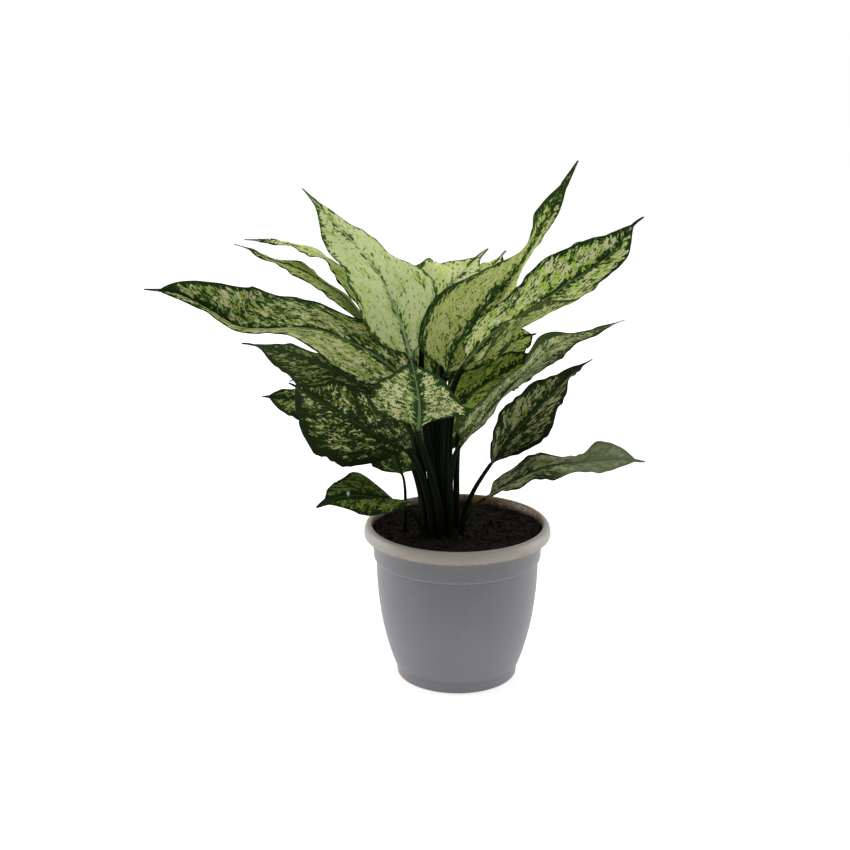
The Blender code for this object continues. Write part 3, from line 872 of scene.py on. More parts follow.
    def blade_rings(self, seed: float) -> tuple[Array, Array, Array, dict[str, Array]]:
        """Rings round the blade, from the end of the stalk to the tip.

        The upper face has a groove over the midrib and the lower one a round ridge under it.
        Near the base the rings ease out of the stalk's circle.

        Args:
            seed: shifts the ruffle.

        Returns:
            Ring points, the sideways and outward directions at the base, and the ring's UV values.
        """
        even = np.linspace(0.0, 1.0, BLADE_ROWS)
        crowded = 0.5 - 0.5 * np.cos(np.pi * even)
        t = (1 - END_CROWDING) * even + END_CROWDING * crowded
        even = np.linspace(-1.0, 1.0, COLUMNS)
        s = np.sign(even) * np.abs(even) ** RIB_CROWDING
        grid, side, normal, x, length = self.blade(t, s, seed)
        up = unit(np.cross(np.gradient(grid, axis=1), np.gradient(grid, axis=0)))
        up[:, 0] = unit(up[:, 0] + up[:, 1])
        up[:, -1] = unit(up[:, -1] + up[:, -2])
        slim = (1 - t)[:, None]
        thick = BLADE_THICKNESS * (0.5 - MARGIN_THINNING * s * s)
        reach = GROOVE_REACH[0] + GROOVE_REACH[1] * slim
        groove = GROOVE_DEPTH * np.sqrt(slim) * np.exp(-((x / reach) ** 2))
        reach = RIDGE_REACH[0] + RIDGE_REACH[1] * slim**RIB_TAPER
        ridge = RIB_DEPTH * slim**RIB_TAPER * np.exp(-((x / reach) ** 2))
        upper = grid + up * (thick - groove)[..., None]
        lower = grid - up * (thick + ridge)[..., None]
        rings = np.concatenate([upper, lower[:, ::-1]], axis=1)
        places, side, normal, _ = self.frames(t)
        angle = ring_angles()[:, None]
        circle = side[:, None] * np.cos(angle) + normal[:, None] * np.sin(angle)
        joined = smooth_step(0.0, JOIN_RUN / length, t)[:, None, None]
        stalk = places[:, None] + circle * self.stalk * STALK_TAPER
        rings = stalk * (1 - joined) + rings * joined
        both = np.concatenate([x, x[:, ::-1]], axis=1)
        share = np.broadcast_to(np.concatenate([s, s[::-1]]), both.shape)
        rows = np.broadcast_to(t[:, None], both.shape)
        half = np.maximum(np.abs(both).max(axis=1, keepdims=True), 1.0)
        flag = np.broadcast_to(np.repeat([1.0, 0.0], COLUMNS), both.shape)
        maps = {
            "flat": np.stack([both, rows * length], axis=-1),
            "share": np.stack([share, rows], axis=-1),
            "edge": np.stack([half * (1 - np.abs(share)), flag], axis=-1),
        }
        return rings, side[0], normal[0], maps

    def stalk_rings(self, side: Array, normal: Array) -> tuple[Array, dict[str, Array]]:
        """Round rings from the root's end to the blade, with a shallow groove towards the blade.

        The path is a cubic that leaves the soil upright and meets the rib in line. The ring's
        directions are carried back along it from the blade, so that it doesn't twist.

        Args:
            side: the sideways direction at the blade's base.
            normal: the outward direction there.

        Returns:
            Ring points and their UV values.
        """
        foot = np.array([*self.foot, STALK_START])
        base = np.array(self.rib[0], float)
        heading = unit(np.cross(normal, side))
        upright = np.array([0.0, 0.0, 1.0])
        span = float(np.linalg.norm(base - foot))
        t = np.linspace(0.0, 1.0, STALK_ROWS)[:, None]
        path = ((2 * t**3 - 3 * t**2 + 1) * foot
                + (t**3 - 2 * t**2 + t) * upright * span * self.upright
                + (3 * t**2 - 2 * t**3) * base
                + (t**3 - t**2) * heading * span * self.lead)
        sunk = path[0] - np.array([[1.0], [0.5]]) * ROOT_DEPTH * upright
        path = np.concatenate([sunk, path])
        ahead = unit(np.gradient(path, axis=0))
        ahead[:len(sunk) + 1] = upright
        turned = [side]
        for direction in ahead[-2::-1]:
            turned.append(unit(turned[-1] - (turned[-1] @ direction) * direction))
        out = np.array(turned[::-1])
        up = np.cross(out, ahead)
        share = np.concatenate([[0.0, 0.0], t[:, 0]])[:, None]
        angle = ring_angles()[None, :]
        groove = STALK_GROOVE * np.exp(-(((angle - np.pi / 2) / STALK_GROOVE_ANGLE) ** 2))
        groove = groove * smooth_step(0.15, 0.6, share) * (1 - smooth_step(0.9, 1.0, share))
        sheath = SHEATH * (1 - smooth_step(0.0, 0.35, share)) * np.cos(2 * angle)
        radius = self.stalk * (1 + (STALK_TAPER - 1) * share) * (1 - groove + sheath)
        ring = out[:, None] * np.cos(angle)[..., None] + up[:, None] * np.sin(angle)[..., None]
        rings = path[:, None] + ring * radius[..., None]
        behind = share - 1.0
        pairs = {
            "flat": (radius * np.cos(angle), behind * span),
            "share": (np.cos(angle), behind),
            "edge": (5.0, 1.0),
        }
        maps = {name: np.stack(np.broadcast_arrays(*pair, radius)[:2], axis=-1)[:-1]
                for name, pair in pairs.items()}
        return rings[:-1], maps

    def build(self, seed: int) -> bpy.types.Object:
        """Make the leaf's mesh, dress it and put it in its node's place.

        Args:
            seed: chooses the leaf's own ruffle and pattern.

        Returns:
            The finished piece.
        """
        blade, side, normal, blade_maps = self.blade_rings(seed)
        stalk, stalk_maps = self.stalk_rings(side, normal)
        rings = np.concatenate([stalk, blade])
        ends = np.stack([stalk[0].mean(axis=0), blade[-1].mean(axis=0)])
        maps = {}
        for name, values in blade_maps.items():
            whole = np.concatenate([stalk_maps[name], values])
            tips = np.stack([whole[0].mean(axis=0), whole[-1].mean(axis=0)])
            maps[name] = np.concatenate([whole.reshape(-1, 2), tips])
        points = np.concatenate([rings.reshape(-1, 3), ends])
        thing = make_piece(self.name + "_grown", points, ring_faces(len(rings), RING), maps)
        material = self.finish.make(self.name + "_tissue", 13.0 * seed)
        attach(thing, material, (self.name,))
        return thing


HIDDEN_LIFT = (12.0, 18.0, 15.0, 10.0, 10.0)
LEAVES = (
    Leaf(
        "leaf_top_left", PALE, foot=(-16.7, -9.4),
        rib=((-37, 2, 263), (-44, 14, 284), (-57, 32, 312), (-76, 50, 337), (-102, 66, 362),
             (-125, 76, 385)),
        face=(0.15, -0.85, 0.5), half_width=38, rise=0.75, fall=1.4,
        left=(0, 30, 35, 0, 20), right=(35, 8, -30, -35, 10), left_share=(1, 1, 1, 0.95, 1.15, 0.5),
        right_share=(1, 1, 1, 1, 1, 0.8),
    ),
    Leaf(
        "leaf_tall", OLIVE, foot=(-13, -3),
        rib=((-9, -5, 252), (-1, -3, 275), (13, 3, 294), (27, 9, 311), (42, 15, 326), (54, 21, 342),
             (65, 27, 362), (77, 33, 383), (93, 39, 411)),
        face=(-0.3, -0.9, 0.3), half_width=37, rise=0.52, fall=1.45,
        left=(25, 5, -22, -45, -55, -5, 10), right=(-30, -35, -50, -90, -90, -30, -10),
        left_share=(1, 1, 1, 1, 1, 1.35, 1), right_share=(1, 1, 1, 0.9, 0.8, 1.05, 1),
    ),
    Leaf(
        "leaf_right_high", MARBLED, foot=(-9.3, -9.4),
        rib=((5, -33, 266), (22, -29, 286), (43, -21, 298), (62, -11, 308), (83, -2, 321),
             (102, 8, 331), (120, 16, 344), (136, 24, 363), (144, 26, 369)),
        face=(-0.2, -0.7, 0.7), half_width=34, rise=0.71, fall=0.95,
        left=(-5, -25, -10, 30, 35), right=(5, 65, 35, 25, 10), right_curl=(160, 160, 20, 0),
    ),
    Leaf(
        "leaf_right_folded", FOLDED, foot=(-5.8, -15.6), stalk=2.8,
        rib=((2, -36, 204), (31, -42, 242), (53, -48, 268), (72, -52, 286), (86, -56, 293),
             (103, -60, 299), (120, -64, 306)),
        face=(-0.5, 0.1, 0.85), half_width=31, rise=0.6, fall=1.1,
        left=(-15, -10, -10, -25, -35, -40, -25), right=(70, 30, 20, 15, 35, 20, 20),
    ),
    Leaf(
        "leaf_right_dark", MURKY, foot=(4, -4), stalk=2.2,
        rib=((24, -30, 184), (35, -36, 203), (51, -44, 226), (68, -52, 246), (83, -60, 265),
             (97, -66, 277)),
        face=(-0.3, 0.75, 0.6), half_width=28, rise=0.74, fall=1.15,
        left=(20, -10, 5, 25, 20), right=(-60, -20, 5, 15, 0),
    ),
    Leaf(
        "leaf_right_low", HAZY, foot=(3, -12), stalk=2.2,
        rib=((22, -35, 160), (43, -45, 176), (65, -55, 190), (90, -65, 197), (115, -72, 202),
             (137, -78, 202)),
        face=(0, -0.1, 1), half_width=28, rise=0.7, fall=0.85,
        left=(50, 20, 15, -10, 10, 40, 30), right=(5, 5, 0, 0, 0, -15, -30),
    ),
    Leaf(
        "leaf_left_long", STREAKED, foot=(-20.4, -3),
        rib=((-40, -5, 247), (-68, -5, 268), (-94, -7, 281), (-109, -9, 287), (-128, -11, 289),
             (-151, -13, 288), (-170, -15, 291), (-193, -17, 306), (-215, -17, 317),
             (-239, -17, 320)),
        face=(0.1, -0.75, 0.75), half_width=38, rise=0.62, fall=0.85,
        left=(-15, 15, 50, 50, 35), right=(10, -22, -14, 32, 35), left_share=(1, 1, 1, 1, 0.8, 1.8),
        right_share=(1.7, 1.02, 1, 1.12, 1, 1), ruffle=0.6,
    ),
    Leaf(
        "leaf_front", FRONT, foot=(-13, -17.4),
        rib=((-31, -76, 228), (-30, -94, 242), (-30, -125, 262), (-32, -158, 284),
             (-35, -191, 306)),
        face=(0, 0.6, 0.8), half_width=36, rise=0.72, fall=1.05,
        left=(15, -5, -20, -10, 20), right=(5, 0, 0, 5, 20),
    ),
    Leaf(
        "leaf_left_narrow", NARROW, foot=(-25.5, 4.2),
        rib=((-53, 51, 251), (-74, 55, 277), (-90, 59, 297), (-107, 63, 309), (-127, 67, 320),
             (-152, 71, 328), (-168, 73, 336), (-181, 75, 340)),
        face=(0.3, -0.1, 1), half_width=33, rise=0.7, fall=1.2,
        left=(10, 15, 5, 5, 5), right=(-5, -15, -15, 0, -20),
    ),
    Leaf(
        "leaf_left_back", SLIM, foot=(-20.2, 9.5),
        rib=((-48, 41, 264), (-67, 49, 287), (-83, 59, 310), (-99, 69, 326), (-120, 77, 334),
             (-146, 83, 340), (-174, 87, 342)),
        face=(0.3, -0.1, 1), half_width=26, rise=0.7, fall=1.2,
        left=(5, 10, 10, 5, -10), right=(-5, -15, -25, 0, 20),
    ),
    Leaf(
        "leaf_back_pale", PALE_PAINTED_LIGHT, foot=(-16.7, 3.4),
        rib=((-26, 33, 274), (-20, 49, 287), (-14, 65, 299), (-1, 83, 309), (13, 101, 320),
             (27, 115, 330)),
        face=(-0.1, -0.8, 0.6), half_width=34, rise=0.65, fall=1.4,
        left=(15, 20, 30, -5, -5), right=(15, 15, 15, 10, 5),
    ),
    Leaf(
        "leaf_back_tip", SLIM, foot=(-9.3, 3.4),
        rib=((-4, 52, 280), (7, 73, 295), (19, 95, 306), (32, 118, 315), (43, 136, 325)),
        face=(-0.2, -0.6, 0.8), half_width=30, rise=0.7, fall=1.2,
        left=(20, 15, 10, -5, -15), right=(15, 15, 15, 20, 20),
    ),
    Leaf(
        "leaf_left_middle", DIM, foot=(-27.6, -3),
        rib=((-50, 21, 216), (-78, 13, 238), (-104, 4, 256), (-126, -2, 266), (-147, -8, 273),
             (-167, -12, 277)),
        face=(0.2, 0.3, 1), half_width=30, rise=0.73, fall=1.05,
        left=(0, 5, 10, 15, 30), right=(0, -25, -50, -35, -20), right_share=(1, 1, 1, 1.3, 1.2),
    ),
    Leaf(
        "leaf_left_tip", SPRAYED, foot=(-25.5, -10.2),
        rib=((-58, 12, 205), (-85, 18, 215), (-110, 24, 221), (-134, 28, 223), (-157, 30, 224)),
        face=(0.2, -0.2, 1), half_width=28, rise=0.73, fall=0.85,
        left=(5, 0, -10, -25, -30), right=(0, 0, 0, 5, 20),
    ),
    Leaf(
        "leaf_front_left", DOTTED, foot=(-20.2, -15.6),
        rib=((-41, -23, 195), (-57, -40, 209), (-75, -63, 227), (-93, -87, 245), (-109, -110, 262),
             (-121, -126, 274)),
        face=(0.5, 0.7, 0.6), half_width=37, rise=0.71, fall=1,
        left=(-5, 5, 25, 50, 55), right=(-45, -60, -60, -25, 5),
    ),
    Leaf(
        "leaf_left_low", LOW, foot=(-28, -17), stalk=2.1,
        rib=((-44, -42, 155), (-56, -56, 165), (-71, -72, 173), (-83, -86, 178), (-93, -97, 179),
             (-105, -104, 175)),
        face=(0, -0.4, 1), half_width=27, rise=0.68, fall=1.2,
        left=(30, 25, -5, -30, -15), right=(0, 5, 5, -5, 15),
        right_share=(1.5, 1.45, 1.4, 1.2, 1.05, 1.1, 1.3, 1.6, 1.8), ruffle=0.35,
    ),
    Leaf(
        "leaf_small", DARK, foot=(-42, 2), stalk=1.5,
        rib=((-44, 3, 166), (-48, -2, 177), (-52, -7, 192), (-58, -12, 208), (-64, -16, 221)),
        face=(0.3, 0.9, 0.3), half_width=20, rise=0.7, fall=1.2,
        left=(-15, -5, 0, 0, 0), right=(-5, -15, -10, 0, 0),
    ),
    Leaf(
        "leaf_right_inner", INNER, foot=(-5.8, 9.5),
        rib=((0, 45, 235), (15, 55, 244), (30, 67, 252), (46, 77, 258), (67, 87, 263)),
        face=(-0.4, -0.5, 0.8), half_width=32, rise=0.75, fall=0.8,
        left=(15, 15, 15, 25, 35), right=(15, 10, 5, 15, 15), lead=0.4,
    ),
    Leaf(
        "leaf_right_under", FRESH, foot=(-5.6, -3),
        rib=((-2, 2, 221), (8, 8, 230), (21, 16, 237), (36, 24, 244), (52, 30, 252), (70, 34, 261)),
        face=(-0.4, -0.6, 0.8), half_width=30, rise=0.68, fall=1.2,
        left=(10, -5, -5, 10, 15), right=(-10, 15, 10, 15, 15), lead=0.35,
    ),
    Leaf(
        "leaf_back_right", CREAM, foot=(-0.5, 4.2), stalk=2.8,
        rib=((6, 29, 208), (18, 49, 225), (30, 71, 235), (42, 93, 237), (52, 113, 231)),
        face=(0, -0.1, 1), half_width=28, rise=0.7, fall=1.2,
        left=HIDDEN_LIFT, right=HIDDEN_LIFT,
    ),
    Leaf(
        "leaf_back_left", OLIVE, foot=(-28, 12), stalk=2.6,
        rib=((-52, 50, 203), (-76, 74, 215), (-100, 98, 221), (-125, 121, 219), (-145, 139, 209)),
        face=(0.1, -0.1, 1), half_width=30, rise=0.7, fall=1.2,
        left=HIDDEN_LIFT, right=HIDDEN_LIFT,
    ),
    Leaf(
        "leaf_back_middle", CREAM, foot=(-13, 11.4),
        rib=((-18, 71, 222), (-13, 100, 244), (-10, 131, 258), (-6, 161, 264), (0, 189, 260)),
        face=(0.1, -0.3, 1), half_width=32, rise=0.7, fall=1.2,
        left=HIDDEN_LIFT, right=HIDDEN_LIFT,
    ),
    Leaf(
        "leaf_back_low", SPRAYED, foot=(-9, 18), stalk=2.4,
        rib=((-14, 44, 168), (-18, 68, 180), (-24, 94, 186), (-32, 118, 184), (-38, 140, 174)),
        face=(0, -0.1, 1), half_width=26, rise=0.7, fall=1.2,
        left=HIDDEN_LIFT, right=HIDDEN_LIFT,
    ),
)


@dataclass(frozen=True)
class PlasticFinish:
    """Satin grey plastic with dust in its creases, water marks and a few brown stains.

    Colours are screen colours from 0 to 255. Sizes are in millimetres.

    body, shade: the wall at the foot, and a painted shadow of the foliage at the rim.
    light: a painted highlight on the rim bead and on the collar's step, and lighter worn places.
    dust, stain, mud: what settles in creases, dries on the wall and clings inside the rim.
    creases: height of each, where its dust starts and where it is full, and its strength.
    stains: place, reach and strength of each.
    wall_slope, wall_foot: the inner collar's radius is height times slope plus foot.
    mud_line: heights where the inside is clean and where it is muddy.
    """

    body: Colour = (104, 104, 111)
    foliage_shadow: Colour = (90, 90, 94)
    light: Colour = (140, 135, 127)
    dust: Colour = (124, 110, 84)
    stain: Colour = (138, 98, 58)
    mud: Colour = (52, 36, 25)
    stains: tuple[tuple[Point, float, float], ...] = (
        ((51.0, -54.0, 118.6), 9.0, 0.5), ((-5.0, -75.0, 118.6), 3.0, 0.5),
        ((-44.0, -59.0, 118.6), 7.0, 0.5), ((-50.0, -5.0, 10.0), 9.0, 0.85),
        ((-48.0, -12.0, 6.0), 9.0, 0.85), ((-44.0, -21.0, 1.0), 7.0, 0.9),
        ((19.0, 65.0, 124.0), 8.0, 0.7),
    )
    creases: tuple[tuple[float, float, float, float], ...] = (
        (118.8, 1.6, 0.3, 1.0), (100.0, 1.0, 0.2, 0.4), (8.9, 0.8, 0.2, 0.3),
    )
    wall_slope: float = 0.2
    wall_foot: float = 44.4
    mud_line: tuple[float, float] = (129.5, 121.5)

    def make(self, name: str) -> bpy.types.Material:
        """Build the material from the point on the pot, in millimetres.

        Args:
            name: the material's name.

        Returns:
            The material.
        """
        s = Shader(name)
        x, y, z = s.place()
        where = s.join(x, y, z)
        cloud = s.noise(where, scale=0.03, detail=4.0, rough=0.6)
        runs = s.noise(s.join(x * 0.25, y * 0.25, z * 0.02), detail=3.0)
        grain = s.noise(where, scale=1.4, detail=2.0)
        spots = s.noise(where, scale=0.22, detail=3.0, rough=0.7)
        light, dust, stain = linear(self.light), linear(self.dust), linear(self.stain)
        # Painted shadow of the foliage: the wall darkens from the foot up towards the rim
        colour = s.mix(linear(self.body), linear(self.foliage_shadow), z.ease(20.0, 125.0))
        # Painted highlight: the rim bead is lighter from its lower edge up
        colour = s.mix(colour, light, z.ease(117.6, 119.0))
        colour = s.mix(colour, light, (cloud * 0.6 + runs * 0.4).ease(0.4, 0.7) * 0.1)
        # Painted highlight: a thin bright line along the collar's step
        colour = s.mix(colour, light, abs(z - 100.7).ease(0.7, 0.2) * 0.35)
        dusty = 0.0
        for height, start, full, strength in self.creases:
            dusty = (abs(z - height).ease(start, full) * strength).most(dusty)
        colour = s.mix(colour, dust, dusty * spots.ease(0.35, 0.6) * 0.9)
        radius = (x * x + y * y).root()
        inside = (z * self.wall_slope + self.wall_foot - radius).ease(0.0, 0.4)
        muddy = ((spots - 0.5) * 18.0 + z).ease(*self.mud_line)
        soiled = s.mix(s.mix(dust, stain, cloud.ease(0.38, 0.58)), linear(self.mud), muddy)
        colour = s.mix(colour, soiled, inside * z.ease(104.0, 106.0))
        for at, reach, strength in self.stains:
            dx, dy, dz = (value - centre for value, centre in zip((x, y, z), at))
            far = (dx * dx + dy * dy + dz * dz * 4.0).root()
            patch = (far + (spots - 0.5) * reach * 1.5).ease(reach, reach * 0.3)
            colour = s.mix(colour, stain, patch * strength)
        s.surface(colour, grain * 0.1 + cloud * 0.2 + 0.28)
        s.bump(grain, 0.0001, 0.25)
        return s.material


@dataclass
class Pot:
    """The turned pot: rolled rim, plain collar, a small step, a tapering belly and a foot ring.

    Sizes are in millimetres. belly and inner_collar hold radius and height of their points.
    bead_foot, collar_end and foot_edge hold steps in radius and height from the rim's lower
    edge, from the collar's foot and from the foot's radius at the floor.
    """

    rim_radius: float = 75.0
    height: float = 128.0
    bead_middle: float = 120.0
    bead_reach: float = 4.2
    bead_edge: float = 118.4
    collar_foot: tuple[float, float] = (67.2, 100.3)
    foot_radius: float = 49.2
    wall: float = 1.8
    floor: float = 3.4
    floor_radius: float = 44.0
    drain_radius: float = 4.0
    drain_circle: float = 27.0
    drain_count: int = 4
    drain_sides: int = 28
    around: int = 160
    bead_turn: tuple[float, float] = (-34.0, 90.0)
    bead_points: int = 14
    belly_points: int = 22
    belly: tuple[tuple[float, float], ...] = (
        (65.3, 99.4), (64.9, 84.0), (63.6, 67.0), (61.2, 49.0), (57.8, 33.0), (53.8, 19.0),
        (50.3, 9.4),
    )
    bead_foot: tuple[tuple[float, float], ...] = (
        (-0.1, 0.5), (-0.6, 0.0), (-1.4, -0.3), (-3.4, -0.4), (-6.3, -0.6), (-6.8, -1.1),
    )
    collar_end: tuple[tuple[float, float], ...] = (
        (0.6, 9.7), (0.05, 0.6), (-0.1, 0.1), (-0.6, -0.3),
    )
    foot_edge: tuple[tuple[float, float], ...] = (
        (0.4, 9.1), (0.0, 8.8), (-0.1, 8.2), (-0.4, 2.0), (-0.6, 0.7), (-1.0, 0.2), (-1.6, 0.0),
    )
    inner_collar: tuple[tuple[float, float], ...] = ((65.4, 100.0), (66.6, 114.0), (68.2, 121.0))
    inner_heights: tuple[float, ...] = (9.0, 20.0, 34.0, 52.0, 76.0)
    finish: PlasticFinish = field(default_factory=PlasticFinish)

    def inner_profile(self, clear: float = 0.0) -> list[tuple[float, float]]:
        """The pot's inside from the floor's middle to just under the rim.

        Args:
            clear: how far the line is moved inwards.

        Returns:
            Radius and height of each point.
        """
        radii, heights = zip(*self.belly[::-1])
        belly = [(float(np.interp(z, heights, radii)) - self.wall, z) for z in self.inner_heights]
        floor = [(0.0, self.floor + clear), (self.floor_radius - clear, self.floor + clear)]
        return floor + [(r - clear, z) for r, z in (*belly, *self.inner_collar)]

    def profile(self) -> list[tuple[float, float]]:
        """The whole turned line: inner floor, inner wall, rim bead, outside and foot.

        Returns:
            Radius and height of each point, from the axis back to the axis.
        """
        rise = self.height - self.bead_middle
        middle = self.rim_radius - self.bead_reach
        rim = [(middle + self.bead_reach * math.sin(a), self.bead_middle + rise * math.cos(a))
               for a in np.radians(np.linspace(*self.bead_turn, self.bead_points))]
        share = np.linspace(0.0, 1.0, self.belly_points)
        belly = [tuple(point) for point in through(self.belly, share)]

        def steps(offsets: tuple[tuple[float, float], ...], r: float,
                  z: float) -> list[tuple[float, float]]:
            """Points at these steps from a radius and a height."""
            return [(r + dr, z + dz) for dr, dz in offsets]

        return [
            *self.inner_profile(), *rim, *steps(self.bead_foot, self.rim_radius, self.bead_edge),
            *steps(self.collar_end, *self.collar_foot), *belly,
            *steps(self.foot_edge, self.foot_radius, 0.0), (0.0, 0.0),
        ]

    def build(self) -> bpy.types.Object:
        """Turn the profile, drill the drain holes and dress the pot.

        Returns:
            The finished piece.
        """
        line = np.array(self.profile())[1:-1]
        angle = -2 * np.pi * np.arange(self.around) / self.around
        ring = np.stack([np.cos(angle), np.sin(angle)], axis=1)
        heights = np.repeat(line[:, None, 1:], self.around, axis=1)
        rows = np.concatenate([line[:, None, :1] * ring[None], heights], axis=2)
        ends = np.array([[0.0, 0.0, self.floor], [0.0, 0.0, 0.0]])
        points = np.concatenate([rows.reshape(-1, 3), ends])
        pot = make_piece("pot_turned", points, ring_faces(len(line), self.around))
        self.drill(pot)
        pot.data.set_sharp_from_angle(angle=math.radians(50.0))
        attach(pot, self.finish.make("grey_plastic"), ("pot",))
        return pot

    def drill(self, pot: bpy.types.Object) -> None:
        """Cut the drain holes through the floor and keep the result as the pot's mesh.

        Args:
            pot: the turned pot.
        """
        edit = bmesh.new()
        radius = self.drain_radius * MM
        for k in range(self.drain_count):
            angle = 2 * math.pi * (k + 0.5) / self.drain_count
            made = bmesh.ops.create_cone(edit, cap_ends=True, segments=self.drain_sides,
                                         radius1=radius, radius2=radius,
                                         depth=4 * self.floor * MM)
            where = Vector((math.cos(angle), math.sin(angle), 0.0)) * self.drain_circle * MM
            bmesh.ops.translate(edit, verts=made["verts"], vec=where)
        mesh = bpy.data.meshes.new("drain_rods")
        edit.to_mesh(mesh)
        edit.free()
        rods = bpy.data.objects.new("drain_rods", mesh)
        bpy.context.scene.collection.objects.link(rods)
        step = pot.modifiers.new("Drains", "BOOLEAN")
        step.operation = "DIFFERENCE"
        step.object = rods
        evaluated = pot.evaluated_get(bpy.context.evaluated_depsgraph_get())
        cut = bpy.data.meshes.new_from_object(evaluated)
        pot.modifiers.clear()
        pot.data = cut
        bpy.data.objects.remove(rods)


@dataclass(frozen=True)
class SoilFinish:
    """Dark damp potting mix with drier crumbs and a few lighter grains.

    Colours are screen colours from 0 to 255. shine is how strongly the damp mix reflects.
    """

    wet: Colour = (14, 12, 11)
    dry: Colour = (40, 29, 23)
    grit: Colour = (82, 62, 44)
    shine: float = 0.08

    def make(self, name: str) -> bpy.types.Material:
        """Build the material from the point on the soil, in millimetres.

        Args:
            name: the material's name.

        Returns:
            The material.
        """
        s = Shader(name)
        x, y, z = s.place()
        where = s.join(x, y, z)
        clods = s.noise(where, scale=0.25, detail=5.0, rough=0.7)
        crumbs = s.noise(where, scale=1.1, detail=3.0, rough=0.6)
        grains = s.cells(where, scale=0.45)
        dryness = (clods * 0.5 + crumbs * 0.5).ease(0.46, 0.68)
        colour = s.mix(linear(self.wet), linear(self.dry), dryness)
        colour = s.mix(colour, linear(self.grit), grains.ease(0.16, 0.08) * 0.6)
        s.surface(colour, crumbs * 0.2 + 0.75)
        s.bump(clods * 0.6 + crumbs, 0.0015, 0.8)
        s.constant("Specular IOR Level", self.shine)
        return s.material


@dataclass
class Soil:
    """Soil that fills the pot: low swells, crumbly relief, and loose crumbs on top.

    Sizes are in millimetres. dent holds the dip's depth, its place and its squared reach.
    clods and fine hold height, spacing and seed of the relief's layers. clear is the play between
    the soil and the pot.
    """

    pot: Pot
    top: float = 121.4
    swell: float = 1.5
    dent: tuple[float, float, float, float] = (2.5, 34.0, 56.0, 297.7)
    side_top: float = 115.4
    radius: float = 66.6
    clear: float = 0.4
    rings: int = 70
    crowding: float = 0.75
    around: int = 200
    clods: tuple[tuple[float, float, int], ...] = ((1.6, 9.0, 3), (1.4, 4.0, 5))
    fine: tuple[float, float, int] = (0.8, 1.8, 7)
    crumbs: int = 420
    crumb_size: tuple[float, float] = (0.5, 2.0)
    finish: SoilFinish = field(default_factory=SoilFinish)

    def height(self, x: Array, y: Array) -> Array:
        """Height of the soil's top.

        It is the solid's own swells and dip, with three layers of lattice noise for the clods.

        Args:
            x: places across.
            y: places in depth.

        Returns:
            Heights in millimetres.
        """
        swell = np.sin(0.09 * x + 2.2) * np.cos(0.08 * y - 0.9) + 0.4 * np.sin(0.21 * x - 0.17 * y)
        depth, at_x, at_y, spread = self.dent
        dip = depth * np.exp(-((x - at_x) ** 2 + (y - at_y) ** 2) / spread)
        flat = np.stack([x, y, 0.0 * x], axis=1)
        clods = sum(h * np.abs(lattice_noise(flat, pitch, seed)) for h, pitch, seed in self.clods)
        height, pitch, seed = self.fine
        fine = height * lattice_noise(flat, pitch, seed)
        return self.top + self.swell * swell - dip + clods + fine - 1.0

    def build(self) -> None:
        """Make the body of soil and its crumbs, and dress both."""
        material = self.finish.make("potting_mix")
        attach(self.make_body(), material, ("soil",))
        attach(self.make_crumbs(), material)

    def make_body(self) -> bpy.types.Object:
        """The filling: rings over the top, down the pot's wall and in over its floor.

        Returns:
            The new object.
        """
        inside = np.array(self.pot.inner_profile(self.clear))[:0:-1]
        wall = inside[inside[:, 1] < self.side_top]
        angle = 2 * np.pi * np.arange(self.around) / self.around
        level = self.radius * np.linspace(0.0, 1.0, self.rings + 1)[1:] ** self.crowding
        radii = np.concatenate([level, wall[:, 0]])[:, None]
        x, y = radii * np.cos(angle), radii * np.sin(angle)
        top = self.height(x[:self.rings].ravel(), y[:self.rings].ravel())
        low = np.repeat(wall[:, 1:], self.around, axis=1)
        z = np.concatenate([top.reshape(self.rings, -1), low])
        rows = np.stack([x, y, z], axis=-1)
        centre = float(self.height(np.zeros(1), np.zeros(1))[0])
        ends = np.array([[0.0, 0.0, centre], [0.0, 0.0, self.pot.floor + self.clear]])
        points = np.concatenate([rows[:, ::-1].reshape(-1, 3), ends])
        return make_piece("soil_filling", points, ring_faces(len(rows), self.around))

    def make_crumbs(self) -> bpy.types.Object:
        """Loose crumbs of soil: dented twenty-sided lumps, half sunk where they lie.

        Returns:
            The new object.
        """
        draw = np.random.default_rng(11)
        edit = bmesh.new()
        bmesh.ops.create_icosphere(edit, subdivisions=1, radius=1.0)
        lump = bpy.data.meshes.new("lump")
        edit.to_mesh(lump)
        edit.free()
        shape = np.empty(3 * len(lump.vertices), np.float32)
        faces = np.empty(len(lump.loops), np.int32)
        lump.vertices.foreach_get("co", shape)
        lump.loops.foreach_get("vertex_index", faces)
        bpy.data.meshes.remove(lump)
        shape, faces = shape.reshape(-1, 3), faces.reshape(-1, 3)
        reach = (self.radius - 3.0) * np.sqrt(draw.random(self.crumbs))
        angle = 2 * np.pi * draw.random(self.crumbs)
        x, y = reach * np.cos(angle), reach * np.sin(angle)
        least, most = self.crumb_size
        size = least + (most - least) * draw.random(self.crumbs) ** 3
        stretch = 0.6 + 0.8 * draw.random((self.crumbs, 1, 3))
        dents = 1.0 + 0.25 * draw.standard_normal((self.crumbs, len(shape), 1)).clip(-1.5, 1.5)
        lumps = shape[None] * dents * stretch * size[:, None, None]
        middle = np.stack([x, y, self.height(x, y) + 0.25 * size], axis=1)
        points = (lumps + middle[:, None]).reshape(-1, 3)
        rows = (faces[None] + (np.arange(self.crumbs) * len(shape))[:, None, None]).reshape(-1, 3)
        return make_piece("soil_crumbs", points, rows.tolist())


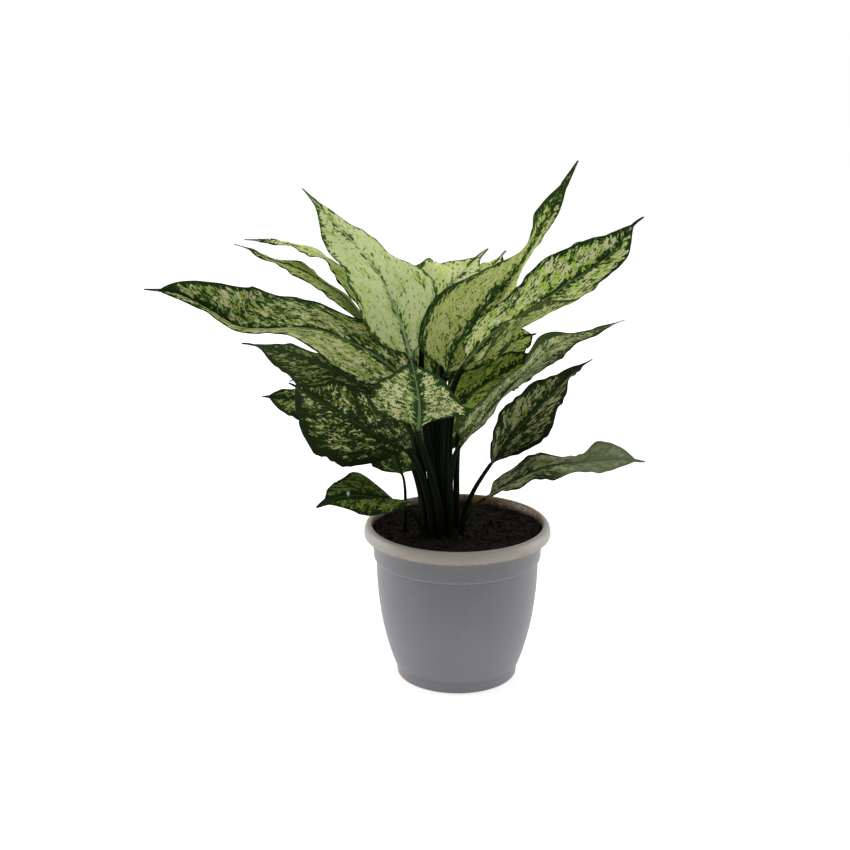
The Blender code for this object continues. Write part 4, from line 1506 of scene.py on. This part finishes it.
@dataclass
class Studio:
    """A pale floor, soft white light from all sides and the photograph's camera.

    Places and lengths are in metres, pitch in degrees and sensor in millimetres. focal_pixels is
    the focal length for a picture of so many pixels a side. surround is how bright the white
    surround is as a light. lights hold the name, place, side and power in watts of each.
    """

    aim: Point = (-0.026, 0.0, 0.2084)
    distance: float = 1.2
    pitch: float = 15.67
    focal_pixels: float = 1521.0
    picture: float = 850.0
    sensor: float = 36.0
    floor_size: float = 60.0
    floor_glow: float = 0.45
    floor_tones: tuple[float, float] = (0.9, 0.93)
    surround: float = 0.6
    lights: tuple[tuple[str, Point, float, float], ...] = (
        ("top_light", (-0.3, -0.3, 1.9), 1.4, 8.0),
        ("back_light", (0.2, 1.7, 1.0), 1.4, 5.0),
        ("left_light", (-1.7, 0.4, 0.6), 1.2, 18.0),
        ("right_light", (1.7, 0.4, 0.6), 1.2, 16.0),
    )

    def build(self) -> None:
        """Set up the floor, the world, the lights and the camera."""
        self.make_floor()
        self.make_world()
        for name, place, size, power in self.lights:
            self.make_light(name, place, size, power)
        self.make_camera()

    def make_floor(self) -> None:
        """A wide white floor under the pot."""
        half = self.floor_size / 2 / MM
        corners = np.array([[-1, -1, 0], [1, -1, 0], [1, 1, 0], [-1, 1, 0]]) * half
        floor = make_piece("studio_floor", corners, [[0, 1, 2, 3]])
        s = Shader("pale_floor")
        x, y, z = s.place()
        cloud = s.noise(s.join(x, y, z), scale=0.002, detail=2.0)
        dim, bright = ((tone,) * 3 for tone in self.floor_tones)
        s.surface(s.mix(dim, bright, cloud), cloud * 0.1 + 0.8)
        s.constant("Emission Color", (1.0, 1.0, 1.0, 1.0))
        s.constant("Emission Strength", self.floor_glow)
        floor.data.materials.append(s.material)

    def make_world(self) -> None:
        """An even surround: white behind the plant, and a little dimmer as a light."""
        world = bpy.data.worlds.new("white_surround")
        world.use_nodes = True
        nodes, links = world.node_tree.nodes, world.node_tree.links
        background = nodes["Background"]
        background.inputs["Color"].default_value = (1.0, 1.0, 1.0, 1.0)
        seen = nodes.new("ShaderNodeLightPath")
        strength = nodes.new("ShaderNodeMix")
        strength.inputs[2].default_value = self.surround
        strength.inputs[3].default_value = 1.0
        links.new(seen.outputs["Is Camera Ray"], strength.inputs[0])
        links.new(strength.outputs[0], background.inputs["Strength"])
        bpy.context.scene.world = world
        bpy.context.scene.view_settings.view_transform = "Standard"

    def make_light(self, name: str, place: Point, size: float, power: float) -> None:
        """A square soft light that looks at the plant.

        Args:
            name: the light's name.
            place: where it stands, in metres.
            size: its side, in metres.
            power: its power, in watts.
        """
        data = bpy.data.lights.new(name, "AREA")
        data.size = size
        data.energy = power
        light = bpy.data.objects.new(name, data)
        light.location = place
        towards = Vector(self.aim) - Vector(place)
        light.rotation_euler = towards.to_track_quat("-Z", "Y").to_euler()
        bpy.context.scene.collection.objects.link(light)

    def make_camera(self) -> None:
        """The camera at the photograph's viewing angle."""
        data = bpy.data.cameras.new("camera")
        data.sensor_width = self.sensor
        data.lens = self.focal_pixels / self.picture * self.sensor
        camera = bpy.data.objects.new("camera", data)
        pitch = math.radians(self.pitch)
        offset = Vector((0.0, -math.cos(pitch), math.sin(pitch))) * self.distance
        camera.location = Vector(self.aim) + offset
        camera.rotation_euler = (-offset).to_track_quat("-Z", "Y").to_euler()
        bpy.context.scene.collection.objects.link(camera)
        bpy.context.scene.camera = camera


def main() -> None:
    """Build the studio, the pot, the soil and the leaves, in that order.

    attach() logs each piece.
    """
    logging.basicConfig(level=logging.INFO, format="%(name)s: %(message)s")
    Studio().build()
    pot = Pot()
    pot.build()
    Soil(pot).build()
    for number, leaf in enumerate(LEAVES):
        leaf.build(number + 1)


if __name__ == "__main__":
    main()
